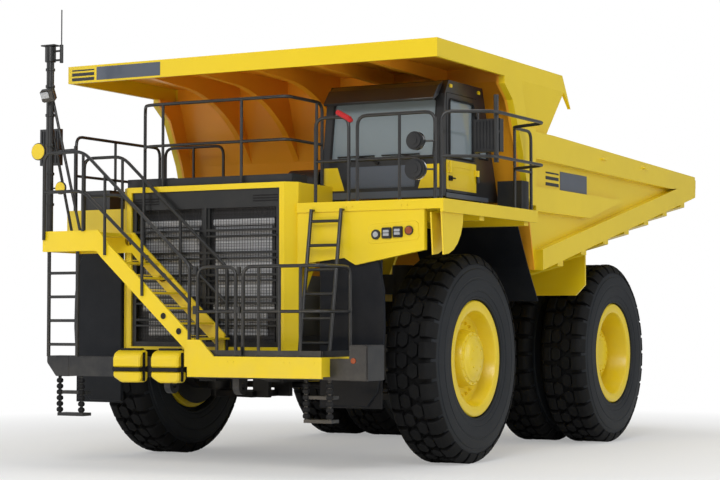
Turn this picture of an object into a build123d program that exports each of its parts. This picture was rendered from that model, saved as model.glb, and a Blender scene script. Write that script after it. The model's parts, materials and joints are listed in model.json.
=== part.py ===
from build123d import *
import os
from math import hypot

# Rigid mining dump truck of the 91 t class, in millimetres.
# +X is the truck's left (cab) side, -Y its front, +Z up. The origin is on the ground at the
# centre of the overall length and width. Rest pose: wheels straight, body down, door shut.
# front(y) and rear(y) give a place along the truck from the front and the rear axle.

# ---------------------------------------------------------------- driving dimensions
WHEELBASE = 4950
FRONT_OVERHANG = 2850          # front axle to the face of the bumper and stairs
REAR_OVERHANG = 3190           # rear axle to the tail of the body
FRONT_TREAD = 4325
DUAL_TREAD = 3500              # between the centres of the twin rear wheels
DUAL_PITCH = 840               # between the two tyres of a twin
TYRE_DIAMETER = 2690
TYRE_WIDTH = 735
RIM_RADIUS = 640
BODY_WIDTH = 5530
BODY_INSIDE = 5200
CANOPY_TOP = 5250
DECK_HEIGHT = 3260
DECK_WIDTH = 5840
WALKWAY_HEIGHT = 1400
MIRROR_REACH = 3440            # half of the width over the mirrors
RAIL_PITCH = 1000              # between the centres of the two frame rails
RAIL_WIDTH = 250
KINGPIN_X = 1430
STEER_ARM = 520                # kingpin to tie-rod pin
TUBE = 24                      # radius of the handrail tube
RUN = 0.05                     # radial clearance of a shaft in its bore
SEAT = 0.3                     # gap between a moving piece and what carries it
PLATE = 45                     # body plate with its stiffeners
WALL = 60                      # cab wall

LENGTH = FRONT_OVERHANG + WHEELBASE + REAR_OVERHANG
FRONT_AXLE = FRONT_OVERHANG - LENGTH / 2
REAR_AXLE = FRONT_AXLE + WHEELBASE
TYRE_R = TYRE_DIAMETER / 2
FRONT_WHEEL_X = FRONT_TREAD / 2
INNER_WHEEL_X = (DUAL_TREAD - DUAL_PITCH) / 2
OUTER_WHEEL_X = (DUAL_TREAD + DUAL_PITCH) / 2
RAIL_X = RAIL_PITCH / 2
RAIL_IN = RAIL_X - RAIL_WIDTH / 2
RAIL_OUT = RAIL_X + RAIL_WIDTH / 2
BODY_HALF = BODY_WIDTH / 2
INSIDE_HALF = BODY_INSIDE / 2
DECK_HALF = DECK_WIDTH / 2


def front(y):
    return FRONT_AXLE + y


def rear(y):
    return REAR_AXLE + y


# Hinge of the body, base pin and rod eye of the hoists, as (y, z).
BED_PIVOT = (rear(1050), 2000)
HOIST_BASE = (rear(-1720), 880)
HOIST_EYE = (rear(-1870), 2400)
HOIST_X = 800
HOIST_PIN = 60
PIVOT_PIN = 70
NOSE = front(-FRONT_OVERHANG)
TAIL = rear(REAR_OVERHANG)


# ---------------------------------------------------------------- shape helpers
def block(x, y, z):
    """A box from three pairs of faces."""
    size = [abs(pair[1] - pair[0]) for pair in (x, y, z)]
    centre = [(pair[0] + pair[1]) / 2 for pair in (x, y, z)]
    return Pos(*centre) * Box(*size)


def outline(points):
    """A closed face; a corner given as (via, end) is reached by an arc through via."""
    edges = []
    here = points[0]
    for corner in list(points[1:]) + [points[0]]:
        if isinstance(corner[0], tuple):
            edges.append(ThreePointArc(here, corner[0], corner[1]))
            here = corner[1]
        else:
            edges.append(Line(here, corner))
            here = corner
    return make_face(edges)


def prism_x(points, x0, x1):
    """A (y, z) outline that runs from x0 to x1."""
    low, high = sorted((x0, x1))
    return extrude(Plane.YZ.offset(low) * outline(points), high - low)


def prism_y(points, y0, y1):
    """An (x, z) outline that runs from y0 to y1."""
    plane = Plane(origin=(0, y1, 0), x_dir=(1, 0, 0), z_dir=(0, -1, 0))
    return extrude(plane * outline(points), y1 - y0)


def prism_z(points, z0, z1):
    """An (x, y) outline that runs from z0 to z1."""
    return extrude(Plane.XY.offset(z0) * outline(points), z1 - z0)


def bar(start, end, radius):
    """A round bar between two points."""
    run = Vector(*end) - Vector(*start)
    return extrude(Plane(origin=start, z_dir=run.normalized()) * Circle(radius), run.length)


def drum(start, axis, length, radius, bore=0):
    """A disc or tube from a point along X, Y or Z."""
    face = Circle(radius) - Circle(bore) if bore else Circle(radius)
    direction = {"x": (1, 0, 0), "y": (0, 1, 0), "z": (0, 0, 1)}[axis]
    return extrude(Plane(origin=start, z_dir=direction) * face, length)


def pipe(points, bend=110, radius=TUBE):
    """A tube along straight runs joined by bends."""
    path = FilletPolyline(*points, radius=bend) if len(points) > 2 else Line(*points)
    return sweep(Plane(origin=path @ 0, z_dir=path % 0) * Circle(radius), path=path)


def turned(profile, side, wheel_x, axle_y):
    """A revolve about a wheel's axle; profile corners are (offset outboard, radius)."""
    corners = [(side * (wheel_x + out), radius) for out, radius in profile]
    plane = Plane(origin=(0, axle_y, TYRE_R), x_dir=(1, 0, 0), z_dir=(0, -1, 0))
    return revolve(plane * outline(corners), Axis((0, axle_y, TYRE_R), (1, 0, 0)), 360)


def both_sides(shape):
    return [shape, mirror(shape, about=Plane.YZ)]


def fuse(shapes):
    whole = shapes[0]
    for shape in shapes[1:]:
        whole = whole + shape
    return whole


# ---------------------------------------------------------------- chassis
FRAME_FRONT = front(-1720)
FRAME_TAIL = rear(1260)
RAIL_BOTTOM = 1060
RAIL_TOP = 1640
RAIL_TOP_REAR = 2080
TAIL_TOP = 60                  # behind the hinge, where the rail's top starts to fall
TAIL_DROP = 55                 # below the hinge, where that slope ends: the body's beams swing over it
STRUT_X = 800                  # rear suspension struts
STRUT_Y = rear(300)
STRUT_TOP = 2400
AFRAME_Y = rear(-1560)          # nose of the rear axle's A-frame
AFRAME_Z = 1110


def frame_rails():
    """Two box rails that kick up over the rear axle, with cross tubes and brackets."""
    pivot_y, pivot_z = BED_PIVOT
    side = [
        (FRAME_FRONT, RAIL_BOTTOM), (rear(-1500), RAIL_BOTTOM), (rear(-760), 1640), (rear(800), 1640),
        (FRAME_TAIL, 1800), (FRAME_TAIL, pivot_z - TAIL_DROP), (pivot_y + TAIL_TOP, RAIL_TOP_REAR),
        (rear(-700), RAIL_TOP_REAR), (rear(-1700), 1760), (front(1500), RAIL_TOP), (FRAME_FRONT, RAIL_TOP),
    ]
    shape = fuse(both_sides(prism_x(side, RAIL_IN, RAIL_OUT)))
    shape += block((-RAIL_X, RAIL_X), (FRAME_FRONT, FRAME_FRONT + 120), (1100, 1500))
    # Cross tubes: y, z, radius
    tubes = ((front(1620), 1230, 150), (AFRAME_Y - 110, AFRAME_Z, 110 - SEAT), (rear(-1150), 1630, 130),
             (rear(820), 1860, 120))
    for y, z, radius in tubes:
        shape += drum((-RAIL_X, y, z), "x", 2 * RAIL_X, radius)
    base_y, base_z = HOIST_BASE
    hanger = [(base_y - 300, RAIL_BOTTOM + 60), (base_y - 110, base_z - 90),
              (base_y + 110, base_z - 90), (base_y + 300, RAIL_BOTTOM + 60)]
    for side_x in (-1, 1):
        shape += prism_x(hanger, side_x * (RAIL_OUT - 60), side_x * (RAIL_OUT + 15))
        start = min(side_x * RAIL_X, side_x * (HOIST_X + 75))
        shape += drum((start, base_y, base_z), "x", HOIST_X + 75 - RAIL_X, HOIST_PIN - RUN)
        start = min(side_x * RAIL_X, side_x * (RAIL_OUT + 115))
        shape += drum((start, *BED_PIVOT), "x", RAIL_OUT + 115 - RAIL_X, PIVOT_PIN - RUN)
        # Arms that carry the heads of the rear struts.
        arm = [(RAIL_OUT - 40, RAIL_TOP_REAR - 20), (RAIL_OUT, RAIL_TOP_REAR - 20), (RAIL_OUT + 55, STRUT_TOP),
               (STRUT_X + 120, STRUT_TOP), (STRUT_X + 120, STRUT_TOP + 80), (RAIL_OUT - 40, STRUT_TOP + 80)]
        shape += prism_y([(side_x * x, z) for x, z in arm], STRUT_Y - 120, STRUT_Y + 120)
    return shape


BUMPER_TOP = 1380
BUMPER_FACE = NOSE + 200
TOW_BORE = 40


def front_bumper():
    """Cross beam with raised end boxes, carried by two arms off the frame."""
    shape = block((-2000, 2320), (BUMPER_FACE, BUMPER_FACE + 260), (1130, BUMPER_TOP))
    shape += block((2080, 2320), (BUMPER_FACE, BUMPER_FACE + 420), (1130, 1540))
    shape += prism_y([(-2000, BUMPER_TOP), (-2340, BUMPER_TOP), (-2340, 1300), (-2200, 1130), (-2000, 1130)],
                     BUMPER_FACE, BUMPER_FACE + 260)
    for side_x in (-1, 1):
        arm = [(BUMPER_FACE + 200, 1160), (FRAME_FRONT, 1080), (FRAME_FRONT, 1330), (BUMPER_FACE + 200, 1330)]
        shape += prism_x(arm, side_x * (RAIL_X - 90), side_x * (RAIL_X + 90))
    # Towing eyes below the beam, bored along X.
    for side_x in (-1, 1):
        eye = prism_x([(BUMPER_FACE + 20, 1140), (BUMPER_FACE + 20, 1030),
                       ((BUMPER_FACE + 120, 930), (BUMPER_FACE + 220, 1030)), (BUMPER_FACE + 220, 1140)],
                      side_x * (RAIL_X - 45), side_x * (RAIL_X + 45))
        bore = drum((min(side_x * 300, side_x * 700), BUMPER_FACE + 120, 1035), "x", 400, TOW_BORE)
        shape += eye - bore
    return shape


STAIR_NEAR = NOSE + 60
STAIR_FAR = front(-1990)
LANDING_Z = 2970
LANDING_X = (-2320, -1480)


def front_walkway():
    """Chequer-plate walkway in front of the grille with its deep front edge."""
    deck = (NOSE, front(-1960))
    shape = block((-60, 1820), deck, (WALKWAY_HEIGHT - 20, WALKWAY_HEIGHT))
    shape += block((-60, 1820), (NOSE, NOSE + 30), (1150, WALKWAY_HEIGHT))
    for x in (-60, 660, 1220, 1790):
        shape += block((x, x + 30), (BUMPER_FACE + 260, deck[1]), (1260, WALKWAY_HEIGHT))
        shape += block((x, x + 30), (NOSE, BUMPER_FACE), (1170, WALKWAY_HEIGHT))
    # Foot gusset where the stairs land.
    shape += prism_y([(-60, 1390), (-60, 1600), (120, 1600), (330, 1390)], NOSE, NOSE + 30)
    return shape


def stair_line(x):
    """Height of the upper edge of a stringer at x."""
    rise = (LANDING_Z - 190) - 1390
    return 1390 + rise * (x - 180) / (-1360 - 180)


def diagonal_stairs():
    """Two plate stringers with round holes, treads between them and a landing at the top."""
    stringer = [
        (-140, stair_line(-140) - 190), (-140, 1270), (-60, 1270), (-60, stair_line(-60) + 60), (-1300, stair_line(-1300) + 70),
        (-1450, LANDING_Z), (LANDING_X[0], LANDING_Z), (LANDING_X[0], LANDING_Z - 260), (-1480, LANDING_Z - 260),
        (-1400, stair_line(-1400) - 190),
    ]
    near = prism_y(stringer, STAIR_NEAR, STAIR_NEAR + 30)
    far = prism_y(stringer, STAIR_FAR - 30, STAIR_FAR)
    for x in (-1530, -1250, -990):
        z = LANDING_Z - 110 if x < -1400 else stair_line(x) - 60
        far -= drum((x, STAIR_FAR - 60, z), "y", 90, 60)
    shape = near + far
    treads = 6
    for step in range(treads):
        x = -130 - step * 210
        z = stair_line(x) - 50
        shape += block((x - 130, x + 130), (STAIR_NEAR, STAIR_FAR), (z - 25, z))
    shape += block(LANDING_X, (STAIR_NEAR, STAIR_FAR), (LANDING_Z - 60, LANDING_Z - 20))
    shape += block((LANDING_X[0], LANDING_X[0] + 30), (STAIR_NEAR, STAIR_FAR), (LANDING_Z - 260, LANDING_Z))
    return shape


HOOD_X = -430
HOOD_HALF = 1320
HOOD_CHAMFER = 130
OPENING_HALF = 1120
HOOD_FRONT = front(-1930)
RADIATOR_BACK = front(-1730)
HOOD_TOP = 3560
GRILLE_BOTTOM = 1500


def hood_shell():
    """Radiator surround with chamfered corners and the engine cover behind it."""
    left, right = HOOD_X - HOOD_HALF, HOOD_X + HOOD_HALF
    plan = [(left + HOOD_CHAMFER, HOOD_FRONT), (right - HOOD_CHAMFER, HOOD_FRONT),
            (right, HOOD_FRONT + HOOD_CHAMFER), (right, RADIATOR_BACK), (left, RADIATOR_BACK),
            (left, HOOD_FRONT + HOOD_CHAMFER)]
    surround = prism_z(plan, GRILLE_BOTTOM - 40, HOOD_TOP)
    surround -= block((HOOD_X - OPENING_HALF, HOOD_X + OPENING_HALF), (HOOD_FRONT - 1, RADIATOR_BACK + 1),
                      (GRILLE_BOTTOM, HOOD_TOP - 70))
    cover = block((left + 40, right - 40), (RADIATOR_BACK - 10, front(-860)), (DECK_HEIGHT - 60, HOOD_TOP))
    cover -= block((left + 80, right - 80), (RADIATOR_BACK - 50, front(-900)), (DECK_HEIGHT - 100, HOOD_TOP - 40))
    # Legs that carry the surround down to the bumper's arms.
    for x in (-RAIL_OUT, RAIL_IN):
        surround += block((x + 40, x + RAIL_WIDTH - 40), (RADIATOR_BACK - 150, RADIATOR_BACK - 10), (1330, GRILLE_BOTTOM - 20))
    return surround + cover


def grille_guard():
    """Blank top band, frame and guard bars in front of the radiator."""
    low, high = HOOD_X - OPENING_HALF, HOOD_X + OPENING_HALF
    face = (HOOD_FRONT + 30, HOOD_FRONT + 60)
    shape = block((low, high), face, (HOOD_TOP - 300, HOOD_TOP - 70))
    for x in (low, high - 60):
        shape += block((x, x + 60), face, (GRILLE_BOTTOM, HOOD_TOP - 280))
    shape += block((low, high), face, (GRILLE_BOTTOM, GRILLE_BOTTOM + 62))
    bars = 6
    pitch = (HOOD_TOP - 300 - GRILLE_BOTTOM - 60) / bars
    for row in range(1, bars):
        z = GRILLE_BOTTOM + 60 + row * pitch
        shape += block((low + 20, high - 20), (HOOD_FRONT + 30, HOOD_FRONT + 50), (z - 15, z + 15))
    shape += block((HOOD_X - 20, HOOD_X + 20), (HOOD_FRONT + 32, HOOD_FRONT + 56), (GRILLE_BOTTOM, HOOD_TOP - 290))
    return shape


def radiator():
    """Two core columns with a dark gap and tanks above and below."""
    back = RADIATOR_BACK - 2
    shape = block((HOOD_X - OPENING_HALF, HOOD_X + OPENING_HALF), (back - 40, back), (GRILLE_BOTTOM, HOOD_TOP - 70))
    column = (HOOD_TOP - 420, GRILLE_BOTTOM + 60)
    for low, high in ((-1000, -90), (90, 1000)):
        shape += block((HOOD_X + low, HOOD_X + high), (back - 100, back - 30), column)
    return shape


def engine_block():
    """The engine as one closed mass on the frame."""
    return block((-RAIL_IN, RAIL_IN), (front(-1000), front(1150)), (1180, 2420))


CAB_X = (700, 2400)
CAB_FLOOR = 3400
CAB_SIDE = [(front(-850), CAB_FLOOR), (front(-850), 3900), (front(-730), 4700), (front(-620), 4880),
            (front(400), 4880), (front(660), 4100), (front(900), CAB_FLOOR)]
DOOR_Y = (front(-700), front(200))
DOOR_Z = (3450, 4720)
HINGE_X = CAB_X[1] + 26        # axis of the door, at its rear edge
HINGES = (3700, 4480)


def inset(points, step):
    """The cab's side outline moved in by a wall; its corners are listed in the same order."""
    (y0, z0), (y1, z1), (y2, z2), (y3, z3), (y4, z4), (y5, z5), (y6, z6) = points
    return [(y0 + step, z0 + step), (y1 + step, z1), (y2 + step, z2 - step / 4), (y3 + step, z3 - step),
            (y4 - step, z4 - step), (y5 - step, z5), (y6 - step, z6 + step)]


SCREEN_Z = (3880, 4640)
REAR_WINDOW_Y = (front(290), front(560))


def cab_shell():
    """Hollow cab with its window and door openings cut, standing on four mounts."""
    shape = prism_x(CAB_SIDE, *CAB_X)
    shape -= prism_x(inset(CAB_SIDE, WALL), CAB_X[0] + WALL, CAB_X[1] - WALL)
    shape -= block((CAB_X[0] + 110, CAB_X[1] - 110), (front(-1000), front(-640)), SCREEN_Z)
    shape -= block((CAB_X[1] - 100, CAB_X[1] + 10), DOOR_Y, DOOR_Z)
    shape -= block((CAB_X[0] - 10, CAB_X[0] + 100), (front(-620), front(150)), (3900, 4600))
    shape -= block((CAB_X[1] - 100, CAB_X[1] + 10), REAR_WINDOW_Y, (3950, 4350))
    shape -= block((CAB_X[0] + 250, CAB_X[1] - 250), (front(400), front(800)), (3950, 4450))
    for x in (CAB_X[0] + 150, CAB_X[1] - 150):
        for y in (front(-650), front(600)):
            shape += drum((x, y, DECK_HEIGHT), "z", CAB_FLOOR - DECK_HEIGHT + 20, 70)
    for z in HINGES:
        shape += drum((HINGE_X, DOOR_Y[1], z - 80), "z", 80 - SEAT, 20)
        shape += block((CAB_X[1] - 5, HINGE_X), (DOOR_Y[1] + 8, DOOR_Y[1] + 60), (z - 80, z - SEAT))
    return shape


GLASS = 8


def cab_glass():
    """Windscreen, right, rear quarter and back panes, each seated in its opening."""
    lean = (front(-730) - front(-850)) / (4700 - 3900)
    low, high = SCREEN_Z
    bottom = front(-850) + 25 + max(0, low - 3900) * lean
    top = front(-850) + 25 + (high - 3900) * lean
    screen = prism_x([(bottom, low), (bottom + GLASS, low), (top + GLASS, high), (top, high)],
                     CAB_X[0] + 110, CAB_X[1] - 110)
    right = block((CAB_X[0] + 20, CAB_X[0] + 20 + GLASS), (front(-620), front(150)), (3900, 4600))
    quarter = block((CAB_X[1] - 30, CAB_X[1] - 30 + GLASS), REAR_WINDOW_Y, (3950, 4350))
    slope = (front(400) - front(660)) / (4880 - 4100)
    y_at = {z: front(660) - 35 + (z - 4100) * slope for z in (3950, 4450)}
    back = prism_x([(y_at[3950], 3950), (y_at[3950] + GLASS, 3950), (y_at[4450] + GLASS, 4450), (y_at[4450], 4450)],
                   CAB_X[0] + 250, CAB_X[1] - 250)
    return [screen, right, quarter, back]


def cab_console():
    """Dashboard, steering column and wheel, and the side console."""
    floor = CAB_FLOOR + WALL
    low, high = CAB_X[0] + WALL + 5, CAB_X[1] - WALL - 5
    shape = prism_x([(front(-780), floor), (front(-780), 3860), (front(-620), 3900), (front(-430), 3780),
                     (front(-520), floor)], low, high)
    centre = CAB_X[1] - 640
    shape += bar((centre, front(-520), 3810), (centre, front(-340), 3990), 28)
    wheel_plane = Plane(origin=(centre, front(-340), 3990), z_dir=(0, 1, 1))
    rim = extrude(wheel_plane * (Circle(215) - Circle(190)), 26)
    spokes = extrude(wheel_plane * (Rectangle(390, 36) + Rectangle(36, 390)), 20)
    shape += rim + spokes
    shape += block((centre - 480, centre - 330), (front(-500), front(350)), (floor, 3930))
    return shape


# Seats: centre x, centre y, width
SEATS = ((CAB_X[1] - 640, front(120), 520), (CAB_X[0] + 320, front(120), 420))


def cab_seats():
    """Operator's and trainer's seats on their boxes."""
    seats = []
    for x, y, width in SEATS:
        half = width / 2
        base = block((x - half + 60, x + half - 60), (y - 200, y + 200), (CAB_FLOOR + WALL, 3760))
        cushion = block((x - half, x + half), (y - 260, y + 240), (3760, 3890))
        back = prism_x([(y + 130, 3890), (y + 240, 3890), (y + 310, 4500), (y + 210, 4500)], x - half, x + half)
        seats.append(base + cushion + back)
    return seats


def cab_door():
    """Side door with its window cut, hinged at its rear edge."""
    gap = 8
    x = (CAB_X[1] - 45, CAB_X[1] + 5)
    shape = block(x, (DOOR_Y[0] + gap, DOOR_Y[1] - gap), (DOOR_Z[0] + gap, DOOR_Z[1] - gap))
    shape -= block((x[0] - 5, x[1] + 5), (DOOR_Y[0] + 90, DOOR_Y[1] - 90), (3900, 4640))
    for z in HINGES:
        shape += drum((HINGE_X, DOOR_Y[1], z), "z", 80, 20)
        shape += block((x[1] - 5, HINGE_X), (DOOR_Y[1] - 60, DOOR_Y[1] - 8), (z, z + 80))
    shape += bar((x[1] + 30, DOOR_Y[0] + 60, 3700), (x[1] + 30, DOOR_Y[0] + 60, 3850), 12)
    for z in (3710, 3840):
        shape += bar((x[1] - 10, DOOR_Y[0] + 60, z), (x[1] + 30, DOOR_Y[0] + 60, z), 12)
    return shape


def door_glass():
    return block((CAB_X[1] - 28, CAB_X[1] - 28 + GLASS), (DOOR_Y[0] + 90, DOOR_Y[1] - 90), (3900, 4640))


DECK_FRONT = front(-1860)
DECK_REAR = front(1020)
FASCIA_BOTTOM = 2510


def cab_deck():
    """Deck under the cab with its front beam and the lamp panel below it."""
    inner = HOOD_X + HOOD_HALF + 10
    shape = block((inner, DECK_HALF), (DECK_FRONT, DECK_REAR), (DECK_HEIGHT - 40, DECK_HEIGHT))
    shape += block((inner, DECK_HALF), (DECK_FRONT, DECK_FRONT + 40), (DECK_HEIGHT - 90, DECK_HEIGHT + 30))
    shape += block((DECK_HALF - 40, DECK_HALF), (DECK_FRONT, DECK_REAR), (DECK_HEIGHT - 130, DECK_HEIGHT + 30))
    panel = [(inner, DECK_HEIGHT - 60), (inner, 2530), (1560, 2600), (1720, FASCIA_BOTTOM), (2660, 2680),
             (2660, DECK_HEIGHT - 60)]
    shape += prism_y(panel, DECK_FRONT + 20, DECK_FRONT + 90)
    # Cross beams that carry the deck off the frame.
    for y in (front(-700), front(700)):
        shape += block((inner, DECK_HALF - 60), (y, y + 140), (DECK_HEIGHT - 180, DECK_HEIGHT - 30))
    for y in (front(560), front(-1560)):
        shape += prism_y([(RAIL_IN + 20, RAIL_TOP), (RAIL_OUT - 20, RAIL_TOP), (1250, DECK_HEIGHT - 30),
                          (950, DECK_HEIGHT - 30)], y, y + 60)
    return shape


def right_deck():
    """Deck on the far side of the hood with its front beam, and the deck behind the hood."""
    inner = HOOD_X - HOOD_HALF - 10
    shape = block((-DECK_HALF, inner), (front(-1500), DECK_REAR), (DECK_HEIGHT - 40, DECK_HEIGHT))
    shape += block((-DECK_HALF, inner), (front(-1500), front(-1460)), (DECK_HEIGHT - 420, DECK_HEIGHT + 60))
    shape += block((-DECK_HALF, 40 - DECK_HALF), (front(-1500), DECK_REAR), (DECK_HEIGHT - 130, DECK_HEIGHT + 30))
    shape += block((inner - 5, HOOD_X + HOOD_HALF + 5), (front(-850), DECK_REAR), (DECK_HEIGHT - 40, DECK_HEIGHT))
    shape += block((-2330, inner), (front(-1940), front(-1490)), (LANDING_Z - 60, LANDING_Z - 20))
    shape += block((-2230, inner), (STAIR_FAR, front(-1940)), (LANDING_Z - 60, LANDING_Z - 20))
    for y in (front(-700), front(700)):
        shape += block((-DECK_HALF + 60, inner + 5), (y, y + 140), (DECK_HEIGHT - 180, DECK_HEIGHT - 30))
    leg_y = front(630)
    shape += block((-RAIL_OUT + 20, -RAIL_IN - 20), (leg_y, leg_y + 60), (RAIL_TOP, DECK_HEIGHT - 30))
    return shape


def mud_guards():
    """Rubber sheets ahead of and behind the front wheels."""
    sheet = (DECK_FRONT + 90, DECK_FRONT + 106)
    ahead = [block((1180, 2050), sheet, (760, 2900)), block((-2540, -1790), sheet, (760, LANDING_Z - 60))]
    behind = prism_x([(DECK_REAR - 16, DECK_HEIGHT - 40), (DECK_REAR, DECK_HEIGHT - 40), (front(1440), 2560),
                      (front(1780), 2100), (front(1764), 2100), (front(1424), 2560)], 1000, 2600)
    return ahead + both_sides(behind)


# ---------------------------------------------------------------- rails, ladders, masts
RAIL_RISE = 1080               # height of the top rail above its deck


def rail_run(points, base, posts, mids=(0.5,)):
    """A top rail with lower rails at shares of its height, and posts down to the base."""
    pieces = [pipe([(x, y, base + RAIL_RISE) for x, y in points])]
    for share in mids:
        pieces.append(pipe([(x, y, base + RAIL_RISE * share) for x, y in points]))
    for x, y in posts:
        pieces.append(bar((x, y, base), (x, y, base + RAIL_RISE), TUBE * 0.9))
    return fuse(pieces)


def left_handrails():
    """Rail round the cab deck, bulging out to the mirror post."""
    deck_y = DECK_FRONT + 70
    side = DECK_HALF - 70
    bulge = MIRROR_REACH - TUBE
    return rail_run([(1130, deck_y), (side, deck_y), (bulge, front(-1450)), (bulge, front(60)), (side, front(330)),
                     (side, front(960))], DECK_HEIGHT,
                    [(1180, deck_y), (1760, deck_y), (2420, deck_y), (side, front(420)), (side, front(900))])


def right_handrails():
    """Rail along the far side and the back of the right deck."""
    side = 70 - DECK_HALF
    return rail_run([(HOOD_X - HOOD_HALF - 40, front(650)), (side, front(650)), (side, front(-1400))], DECK_HEIGHT,
                    [(side, front(-1350)), (side, front(-500)), (side, front(400)), (-2400, front(650)),
                     (-1850, front(650))])


def hood_handrails():
    """Rail round the top of the engine cover."""
    low, high = HOOD_X - 960, HOOD_X + 1180
    return rail_run([(low, front(-960)), (low, front(-1830)), (high, front(-1830)), (high, front(-960))], HOOD_TOP,
                    [(low, front(-1100)), (HOOD_X - 700, front(-1830)), (HOOD_X + 500, front(-1830)),
                     (high, front(-1100))])


def front_handrails():
    """Rails of the front walkway with its gate, and a pair of rails beside the stairs."""
    walk = rail_run([(700, NOSE + 60), (1790, NOSE + 60), (1790, front(-2100))], WALKWAY_HEIGHT,
                    [(760, NOSE + 60), (1300, NOSE + 60), (1790, front(-2200))])
    gate = rail_run([(20, NOSE + 60), (620, NOSE + 60)], WALKWAY_HEIGHT, [(60, NOSE + 60), (560, NOSE + 60)])
    pieces = [walk, gate]
    for y in (STAIR_NEAR - TUBE * 0.9 - SEAT, STAIR_FAR + TUBE * 0.9 + SEAT):
        upper = [(x, y, stair_line(x) + 900) for x in (-150, -1300)]
        lower = [(x, y, stair_line(x) + 450) for x in (-150, -1300)]
        slope = [pipe([upper[0], upper[1], (-2290, y, LANDING_Z + 1000)]),
                 pipe([lower[0], lower[1], (-2290, y, LANDING_Z + 500)])]
        for x in (-200, -760, -1330):
            slope.append(bar((x, y, stair_line(x) - 100), (x, y, stair_line(x) + 900), TUBE * 0.9))
        slope.append(bar((-2270, y, LANDING_Z - 150), (-2270, y, LANDING_Z + 1000), TUBE * 0.9))
        pieces.append(fuse(slope))
    return pieces


def ladder(x, width, top, bottom, steps):
    """Two stiles and round rungs; top and bottom are (y, z)."""
    stiles = [bar((x + side_x * width / 2, *bottom), (x + side_x * width / 2, *top), TUBE) for side_x in (-1, 1)]
    rungs = []
    for step in range(steps):
        share = (step + 0.5) / steps
        y = bottom[0] + (top[0] - bottom[0]) * share
        z = bottom[1] + (top[1] - bottom[1]) * share
        rungs.append(bar((x - width / 2, y, z), (x + width / 2, y, z), TUBE * 0.8))
    return fuse(stiles + rungs)


def access_ladders():
    """Leaning ladder to the cab deck and upright ladder to the landing."""
    cab = ladder(1350, 420, (DECK_FRONT - 50, DECK_HEIGHT - 60), (front(-2200), WALKWAY_HEIGHT + 8), 6)
    for x in (1140, 1560):
        cab += block((x - 20, x + 20), (DECK_FRONT - 60, DECK_FRONT), (DECK_HEIGHT - 80, DECK_HEIGHT - 60))
        cab += block((x - 40, x + 40), (front(-2240), front(-2160)), (WALKWAY_HEIGHT, WALKWAY_HEIGHT + 20))
    far_y = STAIR_NEAR + 30 + TUBE + SEAT
    far = ladder(-2030, 450, (far_y, LANDING_Z - 80), (far_y, BUMPER_TOP), 5)
    return [cab, far]


def hanging_steps():
    """Two pairs of steps hung below the bumper on straps."""
    hung = []
    for x, width in ((1640, 380), (-1990, 400)):
        step_y = (BUMPER_FACE + 20, BUMPER_FACE + 200)
        steps = [block((x - width / 2, x + width / 2), step_y, (z, z + 40)) for z in (620, 900)]
        for side_x in (-1, 1):
            edge = x + side_x * (width / 2 - 30)
            steps.append(block((edge - 20, edge + 20), (BUMPER_FACE + 30, BUMPER_FACE + 42), (640, 1130)))
        hung.append(fuse(steps))
    return hung


def mirrors():
    """Mirror posts with round and rectangular mirrors, reaching past both decks."""
    pieces = []
    post_x = MIRROR_REACH - 2 * TUBE - 30 - SEAT
    left_post = bar((post_x, front(-1300), DECK_HEIGHT + 480), (post_x, front(-1300), 4560), 30)
    housing = block((post_x - 330, post_x + 20), (front(-1240), front(-1130)), (3880, 4280))
    arm = bar((post_x, front(-1300), 4120), (post_x, front(-1200), 4120), 20)
    pieces.append(left_post + arm + housing)
    rod_y = DECK_FRONT + 60
    rod = bar((2810, rod_y - 40, DECK_HEIGHT + 30), (2810, rod_y - 40, DECK_HEIGHT + 1000), 18)
    for z, radius in ((3980, 95), (3640, 125)):
        rod += bar((2810, rod_y - 40, z), (2600, rod_y - 120, z), 12)
        rod += drum((2600, rod_y - 170, z), "y", 60, radius)
    pieces.append(rod)
    far_post = bar((-2800, front(-1480), DECK_HEIGHT + 60), (-2800, front(-1480), 4200), 24)
    far_post += bar((-2800, front(-1480), 4150), (-MIRROR_REACH + 170, front(-1400), 4150), 20)
    far_glass = block((-MIRROR_REACH, -MIRROR_REACH + 330), (front(-1440), front(-1360)), (3960, 4460))
    pieces.append(far_post + far_glass)
    return pieces


MAST_X = -2560
MAST_Y = front(-2350)


def mast():
    """Lamp and aerial mast at the far front corner, with its two struts."""
    shape = bar((MAST_X, MAST_Y, LANDING_Z - 60), (MAST_X, MAST_Y, 5440), 42)
    shape += block((MAST_X - 20, LANDING_X[0]), (MAST_Y - 60, MAST_Y + 60), (LANDING_Z - 60, LANDING_Z - 20))
    shape += block((MAST_X - 110, MAST_X + 110), (MAST_Y - 70, MAST_Y + 70), (5430, 5446))
    shape += bar((MAST_X, MAST_Y, 5300), (MAST_X + 180, MAST_Y, 5300), 16)
    shape += bar((MAST_X + 180, MAST_Y, 5240), (MAST_X + 180, MAST_Y, 5900), 8)
    foot = (MAST_X + 430, MAST_Y + 100)
    shape += bar((MAST_X, MAST_Y, 4900), (*foot, LANDING_Z + 10), 18)
    shape += block((foot[0] - 30, foot[0] + 30), (foot[1] - 30, foot[1] + 30), (LANDING_Z - 20, LANDING_Z + 20))
    shape += block((MAST_X - 60, MAST_X + 180), (MAST_Y - 190, MAST_Y - 50), (4700, 4840))
    shape += bar((MAST_X, MAST_Y, 4760), (MAST_X, MAST_Y - 80, 4760), 16)
    return shape


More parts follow.
